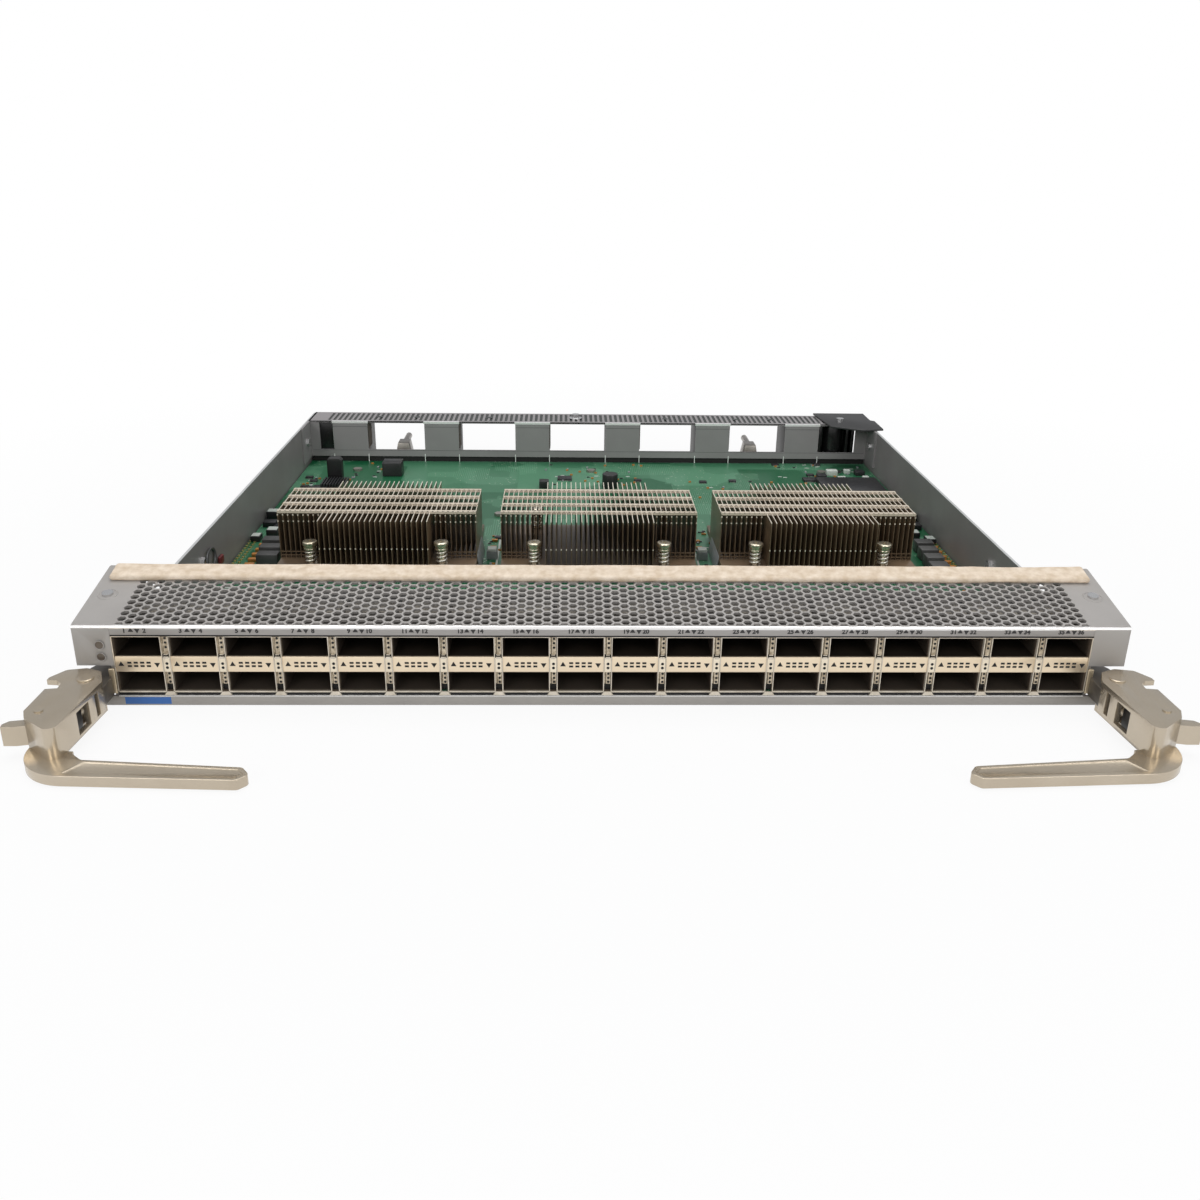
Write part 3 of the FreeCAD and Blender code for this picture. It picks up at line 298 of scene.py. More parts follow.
def add(tree, kind, sockets=None, **settings):
    """A new node with its settings made and its sockets fed."""
    made = tree.nodes.new(kind)
    for key, value in settings.items():
        setattr(made, key, value)
    feed(tree, made, sockets or {})
    return made


def calculate(tree, operation, first, second):
    """One step of arithmetic on two numbers or outputs."""
    return add(tree, "ShaderNodeMath", {0: first, 1: second}, operation=operation).outputs["Value"]


def mixed(tree, factor, first, second):
    """Mixes two colours or outputs."""
    sockets = {"Factor": factor, "A": first, "B": second}
    return add(tree, "ShaderNodeMix", sockets, data_type="RGBA").outputs["Result"]


def ranged(tree, value, start, stop, to_start=0.0, to_stop=1.0, how="LINEAR"):
    """Maps one range of a value to another, and holds it there."""
    sockets = {"Value": value, "From Min": start, "From Max": stop, "To Min": to_start,
               "To Max": to_stop}
    return add(tree, "ShaderNodeMapRange", sockets, interpolation_type=how).outputs["Result"]


def object_place(tree):
    """The place of a point in the object's own frame, which is the card's."""
    return add(tree, "ShaderNodeTexCoord").outputs["Object"]


def new_group(name, inputs, outputs):
    """An empty node group with named sockets."""
    group = bpy.data.node_groups.new(name, "ShaderNodeTree")
    for label, kind, default in inputs:
        socket = group.interface.new_socket(label, in_out="INPUT", socket_type=kind)
        socket.default_value = default
    for label, kind in outputs:
        group.interface.new_socket(label, in_out="OUTPUT", socket_type=kind)
    start = group.nodes.new("NodeGroupInput").outputs
    return group, start, group.nodes.new("NodeGroupOutput")


# %% Group: slow drift of tone
drift, start, end = new_group(
    "tone_drift",
    [("Colour A", COLOUR, (0.5, 0.5, 0.5, 1)), ("Colour B", COLOUR, (0.4, 0.4, 0.4, 1)),
     ("Patches per metre", FLOAT, 30.0)],
    [("Colour", COLOUR)])
noise = add(drift, "ShaderNodeTexNoise", {"Vector": object_place(drift), "Detail": 5.0,
                                          "Scale": start["Patches per metre"], "Roughness": 0.55})
mask = ranged(drift, noise.outputs["Fac"], 0.32, 0.68)
feed(drift, end, {"Colour": mixed(drift, mask, start["Colour A"], start["Colour B"])})

# %% Group: fine grain
grain, start, end = new_group(
    "fine_grain",
    [("Grains per metre", FLOAT, 1500.0), ("Stretch", VECTOR, (1.0, 1.0, 1.0)),
     ("Smoothest", FLOAT, 0.3), ("Roughest", FLOAT, 0.5)],
    [("Roughness", FLOAT), ("Height", FLOAT)])
shape = add(grain, "ShaderNodeMapping", {"Vector": object_place(grain), "Scale": start["Stretch"]})
noise = add(grain, "ShaderNodeTexNoise", {"Vector": shape.outputs["Vector"], "Detail": 3.0,
                                          "Scale": start["Grains per metre"], "Roughness": 0.6})
height = noise.outputs["Fac"]
rough = ranged(grain, height, 0.0, 1.0, start["Smoothest"], start["Roughest"])
feed(grain, end, {"Roughness": rough, "Height": height})

# %% [markdown]
# Inside a port hardly any light comes back, and the sheet looks black a few millimetres behind its
# bright front edge. A third group darkens a colour with depth along one axis, which does the same for
# the fins of a heat sink towards the board.

# %% Group: darker with depth
depth, start, end = new_group(
    "darker_with_depth",
    [("Near", COLOUR, (0.8, 0.7, 0.6, 1)), ("Far", COLOUR, (0.02, 0.02, 0.02, 1)),
     ("Start", FLOAT, 0.001), ("End", FLOAT, 0.004), ("Axis", VECTOR, (0.0, 1.0, 0.0))],
    [("Colour", COLOUR)])
along = add(depth, "ShaderNodeVectorMath", {0: object_place(depth), 1: start["Axis"]},
            operation="DOT_PRODUCT")
mask = ranged(depth, along.outputs["Value"], start["Start"], start["End"], how="SMOOTHSTEP")
feed(depth, end, {"Colour": mixed(depth, mask, start["Near"], start["Far"])})
print("node groups:", len(bpy.data.node_groups))

# %% [markdown]
# Nearly every finish on the card is the same recipe with other numbers: two colours, a metallic
# share, a gloss, a grain and a bump. One function makes them all from a table. Most drift slowly
# between their two colours. A few go from the first to the second with depth instead, as painted
# shade.

# %% The common finish
def surface(name, first, second, metallic, gloss, grains, bump, patches=30.0, stretch=(1, 1, 1),
            lift=0.02, coat=0.0, fade=None, fade_along=(0, 1, 0)):
    """A two-tone colour with a fine grain."""
    material = bpy.data.materials.new(name)
    material.use_nodes = True
    tree = material.node_tree
    if fade:
        colour = add(tree, "ShaderNodeGroup",
                     {"Near": tone(*first), "Far": tone(*second), "Start": fade[0] * MM,
                      "End": fade[1] * MM, "Axis": fade_along}, node_tree=depth)
    else:
        colour = add(tree, "ShaderNodeGroup",
                     {"Colour A": tone(*first), "Colour B": tone(*second),
                      "Patches per metre": patches}, node_tree=drift)
    fine = add(tree, "ShaderNodeGroup",
               {"Grains per metre": grains, "Stretch": stretch, "Smoothest": gloss[0],
                "Roughest": gloss[1]}, node_tree=grain)
    raised = add(tree, "ShaderNodeBump", {"Strength": bump, "Distance": lift * MM,
                                          "Height": fine.outputs["Height"]})
    feed(tree, tree.nodes["Principled BSDF"],
         {"Base Color": colour.outputs["Colour"], "Roughness": fine.outputs["Roughness"],
          "Normal": raised.outputs["Normal"], "Metallic": metallic, "Coat Weight": coat})
    return material


# %% Table of finishes: two colours, metallic share, range of gloss, grains per metre, bump
looks = {
    "bezel_steel": ((168, 164, 159), (158, 154, 149), 0.2, (0.42, 0.58), 2600, 0.25),
    "cover_steel": ((172, 168, 164), (162, 158, 154), 0.2, (0.40, 0.55), 2600, 0.2),
    "tray_steel": ((150, 145, 144), (138, 133, 132), 0.15, (0.38, 0.55), 1800, 0.2),
    "lip_steel": ((166, 162, 158), (156, 152, 148), 0.2, (0.42, 0.55), 2600, 0.2),
    "frame_steel": ((154, 150, 150), (144, 140, 140), 0.1, (0.40, 0.55), 2200, 0.2),
    # A painted highlight along the rounded bend, much lighter than the cover's steel.
    "bend_steel": ((244, 242, 240), (232, 230, 228), 0.6, (0.2, 0.3), 2200, 0.05),
    # The front strip: the pan's steel painted lighter where its front face takes the light.
    "strip_steel": ((166, 162, 156), (156, 152, 147), 0.35, (0.42, 0.55), 2400, 0.15),
    # A painted highlight on the tray's cut upper edges.
    "edge_steel": ((214, 215, 214), (196, 197, 196), 0.35, (0.35, 0.5), 2000, 0.15),
    # Painted shade: the lug is darkened because it sits in a shaded recess.
    "lug_steel": ((112, 106, 98), (98, 92, 84), 0.4, (0.3, 0.45), 2400, 0.2),
    "pin_steel": ((178, 172, 164), (160, 154, 146), 0.7, (0.25, 0.38), 2500, 0.1),
    "ejector_nickel": ((200, 188, 169), (188, 175, 155), 0.75, (0.2, 0.3), 3000, 0.06),
    "sink_nickel": ((132, 110, 86), (96, 80, 62), 0.15, (0.24, 0.4), 1500, 0.15),
    "tie_nickel": ((236, 222, 202), (206, 192, 170), 0.25, (0.32, 0.5), 2200, 0.3),
    # Painted shade: the fins' front edges go darker towards the plate.
    "fin_edge": ((112, 94, 74), (150, 132, 108), 0.2, (0.3, 0.45), 1500, 0.15),
    # Painted highlights on the top edges and small folds of the fins.
    "fin_top_edge": ((246, 236, 220), (222, 208, 188), 0.2, (0.3, 0.45), 1500, 0.15),
    "fastener_chrome": ((225, 225, 225), (205, 205, 205), 0.95, (0.12, 0.22), 2000, 0.1),
    "pale_brass": ((232, 224, 204), (204, 194, 170), 0.85, (0.16, 0.3), 2500, 0.15),
    "spring_wire": ((240, 236, 226), (212, 206, 192), 0.7, (0.15, 0.3), 3000, 0.1),
    "wire_grey": ((92, 92, 92), (74, 74, 74), 0.4, (0.3, 0.45), 1500, 0.05),
    # Near-white painted highlights on the frame's folded edges and window ticks, and on the front
    # strip's top.
    "bright_tin": ((255, 254, 252), (246, 244, 240), 0.25, (0.25, 0.4), 2200, 0.1),
    "cheek_tin": ((204, 188, 160), (180, 164, 136), 0.6, (0.3, 0.45), 2000, 0.15),
    "speckled_tin": ((218, 204, 180), (150, 134, 110), 0.35, (0.3, 0.5), 2600, 0.3),
    "plate_tin": ((244, 232, 210), (232, 218, 194), 0.5, (0.3, 0.45), 2000, 0.15),
    "rim_tin": ((226, 216, 200), (198, 188, 170), 0.4, (0.3, 0.45), 2200, 0.1),
    # Painted shade: the cream band goes dark with depth inside the ports.
    "band_face": ((236, 218, 190), (74, 66, 58), 0.7, (0.30, 0.45), 1600, 0.15),
    # Painted light and painted shade on the cage roofs under the cover: a pale band where light falls,
    # dark elsewhere.
    "roof_pale": ((196, 188, 174), (96, 88, 78), 0.2, (0.4, 0.6), 1600, 0.1),
    "roof_dark": ((66, 60, 52), (48, 43, 37), 0.2, (0.4, 0.6), 1600, 0.1),
    # Painted shade: the cage's sheet and the port walls go darker with depth inside the ports.
    "shell_dark": ((120, 106, 90), (74, 66, 58), 0.2, (0.45, 0.6), 1500, 0.15),
    "port_dark": ((96, 84, 72), (66, 58, 50), 0.3, (0.4, 0.6), 1500, 0.15),
    "socket_black": ((30, 26, 22), (20, 18, 16), 0.0, (0.4, 0.6), 1500, 0.2),
    "connector_grey": ((62, 60, 56), (42, 40, 38), 0.0, (0.4, 0.6), 900, 0.4),
    "connector_black": ((26, 26, 26), (16, 16, 16), 0.0, (0.16, 0.3), 1500, 0.1),
    "module_black": ((38, 38, 38), (24, 24, 24), 0.0, (0.3, 0.5), 2500, 0.3),
    # Painted shade in the ejector housing's window.
    "core_black": ((34, 33, 30), (26, 25, 23), 0.0, (0.4, 0.6), 1500, 0.05),
    "lid_black": ((52, 52, 52), (38, 38, 38), 0.2, (0.4, 0.55), 2200, 0.3),
    "chip_dark": ((44, 44, 44), (34, 34, 34), 0.0, (0.4, 0.6), 3000, 0.2),
    "choke_grey": ((82, 82, 80), (46, 46, 46), 0.0, (0.35, 0.6), 2500, 0.5),
    "rib_brown": ((110, 98, 88), (86, 76, 68), 0.0, (0.4, 0.6), 1500, 0.1),
    "light_window": ((84, 74, 66), (66, 58, 52), 0.0, (0.08, 0.2), 2000, 0.05),
    # Painted shade inside holes, slits, notches and gaps; the arrows on the bands use it too.
    "hole_black": ((18, 16, 15), (12, 11, 10), 0.0, (0.6, 0.8), 1500, 0.05),
    "print_dark": ((44, 42, 42), (38, 36, 36), 0.0, (0.5, 0.7), 1500, 0.05),
    # Painted shade in the frame's creases and round holes, and on the plate under its slots.
    "crease_dark": ((70, 74, 72), (62, 66, 64), 0.0, (0.5, 0.7), 1500, 0.05),
    "label_blue": ((58, 110, 180), (54, 104, 172), 0.0, (0.35, 0.5), 1200, 0.05),
    "cap_red": ((122, 44, 44), (100, 34, 36), 0.0, (0.35, 0.5), 1500, 0.05),
    "gasket_cloth": ((242, 226, 206), (214, 193, 166), 0.0, (0.55, 0.75), 1200, 0.5),
    "board_edge": ((178, 132, 84), (150, 112, 76), 0.0, (0.5, 0.7), 900, 0.15),
    "part_black": ((46, 46, 48), (32, 32, 34), 0.0, (0.3, 0.45), 1500, 0.1),
    "part_tan": ((196, 132, 62), (170, 108, 48), 0.0, (0.35, 0.5), 900, 0.15),
    "part_grey": ((156, 160, 160), (132, 136, 138), 0.0, (0.3, 0.5), 1800, 0.15),
    "solder_tin": ((214, 214, 208), (184, 184, 178), 0.8, (0.18, 0.32), 3000, 0.15),
    "gold_pad": ((226, 208, 140), (196, 172, 96), 0.75, (0.2, 0.32), 3000, 0.15),
    "pad_pale": ((206, 212, 204), (184, 192, 184), 0.0, (0.4, 0.55), 1800, 0.15)}
extras = {
    "pin_steel": {"stretch": (1, 6, 1)}, "sink_nickel": {"stretch": (1, 1, 4)},
    "speckled_tin": {"patches": 900}, "rim_tin": {"patches": 160},
    "roof_pale": {"patches": 260}, "roof_dark": {"patches": 70},
    "choke_grey": {"lift": 0.05}, "light_window": {"coat": 0.1},
    "gasket_cloth": {"patches": 260, "stretch": (1, 3, 1), "lift": 0.06},
    "port_dark": {"fade": (0.8, 5.0)}, "shell_dark": {"fade": (0.4, 3.0)},
    "band_face": {"fade": (0.85, 1.7)}, "fin_edge": {"fade": (32, 36), "fade_along": (0, 0, 1)}}
for name, values in looks.items():
    finishes[name] = surface(name, *values, **extras.get(name, {}))
print("finishes:", len(finishes))

# %% [markdown]
# Solids that already look right only need a finish. All the others are replaced by finer pieces
# further down.

# %% Finishes on the solids
plain_nodes = {"base_pan": "tray_steel", "frame_screws": "fastener_chrome",
               "board_screws": "pin_steel", "status_lights": "light_window"}
# Cage shells and floors get a painted shade that deepens inside the ports.
for number in (1, 2, 3):
    for stem, look in (("cage_shell", "shell_dark"), ("cage_floor", "shell_dark"),
                       ("port_connectors", "socket_black"), ("switch_chip", "chip_dark")):
        plain_nodes["%s_%d" % (stem, number)] = look
for side in ("left", "right"):
    for stem, look in (("pivot_pin", "ejector_nickel"), ("trigger_pin", "ejector_nickel"),
                       ("trigger_spring", "pin_steel")):
        plain_nodes["%s_%s" % (stem, side)] = look
for name, look in plain_nodes.items():
    mesh = nodes[name].data
    mesh.materials.clear()
    mesh.materials.append(finishes[look])
print("solids with a finish:", len(plain_nodes))

# %% [markdown]
# Places come from the solids, so the fine pieces follow them. A box is read once, in millimetres, and
# the eighteen port columns and the seams between them are counted from the middle.

# %% Places read from the solids
def box_in_mm(node):
    """The low and high corner of a solid in millimetres."""
    low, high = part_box(node)
    return [v / MM for v in low], [v / MM for v in high]


cover_high = box_in_mm("front_cover")[1]
shell_low, shell_high = box_in_mm("cage_shell_1")
band_low, band_high = box_in_mm("light_bands_1")
pan_low, pan_high = box_in_mm("base_pan")
board_high = box_in_mm("circuit_board")[1]
frame_low, frame_high = box_in_mm("rear_frame")
face_half = cover_high[0]
array_half = -shell_low[0]
cage_roof = shell_high[2]
board_top = board_high[2]
PORT_PITCH = 21.0
PORT_WIDTH = 17.8
COLUMNS = 18
FIRST_COLUMN = -(COLUMNS - 1) * PORT_PITCH / 2
FIRST_SEAM = FIRST_COLUMN + PORT_PITCH / 2


def at_columns(thing):
    """Repeats a piece at each of the port columns."""
    return row(thing, COLUMNS, (PORT_PITCH, 0, 0))


def at_seams(thing):
    """Repeats a piece at each seam between two columns."""
    return row(thing, COLUMNS - 1, (PORT_PITCH, 0, 0))


print("face", round(face_half * 2, 1), "board top", round(board_top, 1))

# %% [markdown]
# The real slope is a sheet with more than nine hundred small hexagons. They are made flat, where it
# is easy: one hexagonal bar, repeated across and then back, twice, because every second row is
# shifted by half a step. The whole lattice is cut from a flat sheet in one boolean, and only then is
# the sheet tilted to its slope.

# %% The perforated slope
SLOPE_RUN = 32.0
SLOPE_RISE = 5.7
SLOPE_DEGREES = math.degrees(math.atan2(SLOPE_RISE, SLOPE_RUN))
FACE_TOP = 33.3
HOLE_FLATS = 3.05
HOLE_STEP = 6.7
ROW_STEP = 1.95
FIRST_ROW = 0.95
ROWS = 17
hole_radius = HOLE_FLATS / math.sqrt(3)
sheet_depth = (cover_high[1] - 1.0) / math.cos(math.radians(SLOPE_DEGREES))


def hexagon_rows(count, first_row, rows):
    """Rows of hexagonal bars that point across the card."""
    start = (-(count - 1) * HOLE_STEP / 2, first_row, -2)
    bars = bar("hexagons", hole_radius, start, 3, "Z", 6)
    turned(bars, 90, "Z", start)
    row(bars, count, (HOLE_STEP, 0, 0))
    return row(bars, rows, (0, ROW_STEP * 2, 0))


slope = plank("perforated_cover", 0, face_half, (0.7, sheet_depth), (-1.0, 0))
lattice = join("lattice", [hexagon_rows(56, FIRST_ROW, ROWS // 2 + 1),
                           hexagon_rows(55, FIRST_ROW + ROW_STEP, ROWS // 2)])
cut(slope, lattice)
turned(slope, SLOPE_DEGREES, "X")
moved(slope, (0, 0, FACE_TOP))
flange = plank("cover_flange", 0, face_half, (cover_high[1] - 1.0, cover_high[1]),
               (cover_high[2] - 5.2, cover_high[2] - 0.3))
finish(join("perforated_cover", [slope, flange]), "cover_steel", "front_steel", "front_cover",
       smooth=20)

# %% The bend, painted bright as a highlight, and the lip below it
bend = bar("cover_bend", 0.95, (-face_half, 0.95, FACE_TOP - 0.95), face_half * 2, "X", 24)
finish(bend, "bend_steel", "front_steel")
lip = plank("cover_lip", 0, array_half, (0.1, 0.9), (cage_roof + 0.45, FACE_TOP - 0.7))
soften(lip, 0.12)
finish(lip, "lip_steel", "front_steel")

# %% A dimple round each rivet of the cover
RIVET_DEPTH = 22.0
for side, name in ((-1, "left"), (1, "right")):
    place = (side * (face_half - 6.5), RIVET_DEPTH,
             FACE_TOP + RIVET_DEPTH * SLOPE_RISE / SLOPE_RUN - 0.1)
    ring = torus("cover_dimple_" + name, 3.6, 0.35, place, (math.radians(SLOPE_DEGREES), 0, 0), 40)
    finish(ring, "cover_steel", "front_steel")
print("cover triangles", count_of_triangles["perforated_cover"])

# %% [markdown]
# The gasket is a springy tube of conductive cloth. A flat-bottomed bar is rounded with a wide bevel,
# cut into short lengths and pushed about by a cloud texture, so that its top edge is not quite
# straight.

# %% Gasket
gasket_low, gasket_high = box_in_mm("emi_gasket")
gasket = slab("gasket_cloth", (gasket_low[0], 0, -0.2), (gasket_high[0], 10.6, 2.5))
soften(gasket, 1.7, 5)
pick(gasket)
bpy.ops.object.mode_set(mode="EDIT")
LENGTHS = 60
for place in range(1, LENGTHS):
    across = gasket_low[0] + (gasket_high[0] - gasket_low[0]) * place / LENGTHS
    bpy.ops.mesh.select_all(action="SELECT")
    bpy.ops.mesh.bisect(plane_co=(across * MM, 0, 0), plane_no=(1, 0, 0))
bpy.ops.object.mode_set(mode="OBJECT")
clouds = bpy.data.textures.new("cloth_clouds", "CLOUDS")
clouds.noise_scale = 0.012
wave = gasket.modifiers.new("wave", "DISPLACE")
wave.texture = clouds
wave.strength = 0.0007
wave.mid_level = 0.6
apply_all(gasket)
turned(gasket, SLOPE_DEGREES, "X")
moved(gasket, (0, SLOPE_RUN - 0.2, FACE_TOP + SLOPE_RISE))
finish(gasket, "gasket_cloth", "gasket", "emi_gasket", smooth=50)

# %% [markdown]
# Each port column has a number pair on the lip, with arrows that say which number is the upper port.
# The figures are text objects turned into thin meshes. They are plain numbers from 1 to 36.

# %% Port numbers
FIGURE_HEIGHT = 31.35
FIGURE_SIZE = 2.5
figures = []
for column in range(COLUMNS):
    middle = FIRST_COLUMN + column * PORT_PITCH
    for offset, number in ((-3.75, column * 2 + 1), (3.8, column * 2 + 2)):
        clear_selection()
        bpy.ops.object.text_add(location=((middle + offset) * MM, 0.06 * MM,
                                          (FIGURE_HEIGHT - FIGURE_SIZE * 0.35) * MM),
                                rotation=(math.pi / 2, 0, 0))
        figure = bpy.context.object
        figure.data.body = str(number)
        figure.data.size = FIGURE_SIZE * MM
        figure.data.align_x = "CENTER"
        figure.data.extrude = 0.02 * MM
        figure.data.offset = 0.11 * MM
        figure.data.resolution_u = 3
        pick(figure)
        bpy.ops.object.convert(target="MESH")
        figures.append(settle(bpy.context.object))
    for offset, degrees in ((-1.25, 180), (1.15, 0)):
        place = (middle + offset, 0.04, FIGURE_HEIGHT)
        arrow = bar("arrow", 1.2, place, 0.06, "Y", 3)
        figures.append(turned(arrow, degrees, "Y", place))
finish(join("port_numbers", figures), "print_dark", "front_steel")

# %% [markdown]
# Between the two rows of ports runs a cream band with an arrow, eight short slits and another arrow
# in each column. Everything here repeats every 21 mm, so each mark is made once and then laid out in
# a row of eighteen.

# %% Band plates
band_middle = (band_low[2] + band_high[2]) / 2
for number in (1, 2, 3):
    plate = copied_solid("light_bands_%d" % number, "band_plates_%d" % number, 0.12, 2)
    # The band plates are painted darker with depth as shade.
    finish(plate, "band_face", "band_steel", "light_bands_%d" % number)

# %% Marks on the bands
marks = []
for offset, degrees in ((-6.75, 180), (6.8, 0)):
    place = (FIRST_COLUMN + offset, band_low[1] - 0.04, band_middle - 0.1)
    marks.append(at_columns(turned(bar("arrow", 1.28, place, 0.1, "Y", 3), degrees, "Y", place)))
for height in (band_middle - 0.8, band_middle + 0.62):
    dash = plank("dash", FIRST_COLUMN - 3.6, 0.78, (band_low[1] - 0.04, band_low[1] + 0.04),
                 (height - 0.4, height + 0.4))
    marks.append(at_columns(row(dash, 4, (2.4, 0, 0))))
finish(join("band_marks", marks), "hole_black", "band_steel")

# %% [markdown]
# The seam between two columns has bright sheet edges at both sides, a spring strip with three holes
# above and three below, and a wider cream plate with two holes across the band. Below the strip the
# seam is open, with a plate of painted shade behind it, and its foot is a bright little fold.

# %% Seam edges, strips and plates
PORT_TALL = 8.2
SEAM_EDGE = 1.48
EDGE_HALF = 0.17
FLOOR = band_low[2] - PORT_TALL
ROOF = band_high[2] + PORT_TALL
edges = []
for side in (-1, 1):
    for middle in (FIRST_SEAM + side * SEAM_EDGE, side * (array_half - 0.2)):
        edges.append(plank("edge", middle, EDGE_HALF, (0.15, 1.6), (FLOOR, ROOF + 0.2)))
    at_seams(edges[-2])
finish(join("seam_edges", edges), "rim_tin", "cage_steel")

strips = []
for heights in ((band_high[2] + 1.0, ROOF - 0.1), (band_low[2] - 5.1, band_low[2] + 0.2)):
    strips.append(at_seams(plank("strip", FIRST_SEAM + 0.275, 0.825, (0.7, 1.0), heights)))
    strips.append(at_seams(plank("side_strip", FIRST_SEAM - 1.05, 0.25, (1.0, 1.3), heights)))
finish(join("seam_strips", strips), "speckled_tin", "cage_steel")
plate = plank("seam_plates", FIRST_SEAM, 1.25, (0.12, 0.42), (band_low[2] + 0.1, band_high[2] - 0.3))
soften(plate, 0.45, 3)
finish(at_seams(plate), "plate_tin", "cage_steel")

folds = []
for low, high, half in ((-0.85, 0.1, 0.95), (0.75, 1.0, 0.8)):
    fold = plank("fold", FIRST_SEAM, half, (0.05, 0.75), (band_high[2] + low, band_high[2] + high))
    folds.append(at_seams(soften(fold, 0.15)))
FOOT_WIDE = 2.3
FOOT_NARROW = 1.3
foot_at = (FIRST_SEAM, 0.5, FLOOR - 1.5)
foot = bar("foot", FOOT_WIDE * math.sqrt(2), foot_at, 1.4, "Z", 4, FOOT_NARROW * math.sqrt(2))
turned(foot, 45, "Z", foot_at)
folds.append(at_seams(stretched(foot, 0.5 / FOOT_WIDE, foot_at[1])))
finish(join("seam_folds", folds), "rim_tin", "cage_steel")

# %% Holes in the strips, and the dark behind them
STRIP_HOLE = 0.52
PLATE_HOLE = 0.58
holes = []
for height in (band_high[2] + 7.5, band_high[2] + 5.7, band_high[2] + 3.8,
               band_low[2] - 0.8, band_low[2] - 2.6, band_low[2] - 4.3):
    holes.append(at_seams(bar("hole", STRIP_HOLE, (FIRST_SEAM + 0.3, 0.66, height), 0.1, "Y", 14)))
for height in (band_middle - 1.3, band_middle + 0.4):
    holes.append(at_seams(bar("hole", PLATE_HOLE, (FIRST_SEAM + 0.1, 0.08, height), 0.1, "Y", 14)))
# A plate of painted shade behind the seams.
holes.append(at_seams(plank("backing", FIRST_SEAM, 1.5, (2.2, 2.6), (FLOOR, ROOF))))
dividers = ["cage_dividers_%d" % number for number in (1, 2, 3)]
finish(join("seam_holes", holes), "hole_black", "cage_steel", *dividers)

# %% Port rims and walls
half_port = PORT_WIDTH / 2
rims = []
for heights in ((ROOF - 0.05, ROOF + 0.22), (FLOOR - 0.4, FLOOR + 0.1)):
    rims.append(at_columns(plank("rim", FIRST_COLUMN, half_port, (0.2, 1.2), heights)))
finish(join("port_rims", rims), "rim_tin", "cage_steel")
# The port walls are painted darker with depth as shade.
walls = []
for side in (-1, 1):
    wall = plank("wall", FIRST_COLUMN + side * (half_port - 0.1), 0.1, (1.7, 34.0), (FLOOR, ROOF))
    walls.append(at_columns(wall))
finish(join("port_walls", walls), "port_dark", "cage_steel")
lip_gap = plank("lip_gap", 0, array_half, (0.12, 0.8), (ROOF + 0.25, cage_roof + 0.5))
strip_gap = plank("strip_gap", 0, array_half, (0.9, 1.2), (pan_low[2] + 3.7, FLOOR - 0.3))
finish(join("shadow_gaps", [lip_gap, strip_gap]), "hole_black", "cage_steel")
# Over the real roofs lie a sheet of painted shade and, in each column, a band of painted light.
roofs = plank("cage_roofs", 0, array_half, (0.6, shell_high[1]), (cage_roof, cage_roof + 0.15))
finish(roofs, "roof_dark", "cage_steel")
tops = plank("roof_tops", FIRST_COLUMN, 9.2, (23.0, 37.0), (cage_roof + 0.1, cage_roof + 0.3))
finish(at_columns(tops), "roof_pale", "cage_steel")
cheeks = []
for side in (-1, 1):
    cheeks.append(plank("cheek", side * (array_half + 1.4), 1.15, (-0.05, 1.1), (FLOOR - 0.9, 15.4)))
finish(soften(join("cage_cheeks", cheeks), 0.35, 3), "cheek_tin", "cage_steel")
print("front pieces", len(count_of_triangles))

# %% [markdown]
# A heat sink of this kind is a stack of thin folded sheets on a plate. The fins are plain sheets that
# repeat along X: short ones at both sides, to leave room for the screws, and long ones between them.
# Four flat ties with a bent-down edge hold the stack together at the top.

# %% Heat sink sizes
sink_low, sink_high = box_in_mm("heat_sink_2")
SINK_BASE = 3.6
FIN_SHEET = 0.32
SHORT_FINS = 9
LONG_FINS = 22
ALL_FINS = SHORT_FINS * 2 + LONG_FINS
SCREW_SETBACK = 14.5
SCREW_ACROSS = 31.5
SCREW_INSET = 6.5
SINK_STEP = 108.0
front = sink_low[1]
rear = sink_high[1]
short_front = front + SCREW_SETBACK
short_rear = rear - SCREW_SETBACK
base_top = sink_low[2] + SINK_BASE
tie_top = sink_high[2]
fin_top = tie_top - 0.4
fin_step = (sink_high[0] - sink_low[0] - FIN_SHEET) / (ALL_FINS - 1)
print("fin step", round(fin_step, 3))


def at_fins(name, count, low, high):
    """A thin piece between two corners, repeated from fin to fin."""
    return row(slab(name, low, high), count, (fin_step, 0, 0))


def folded_tabs(first, count, near, low, high, wide):
    """Small folds between the fins."""
    middle = sink_low[0] + fin_step * (first + 0.5) + FIN_SHEET / 2
    return at_fins("tab", count, (middle - wide / 2, near, low), (middle + wide / 2, near + 0.4, high))


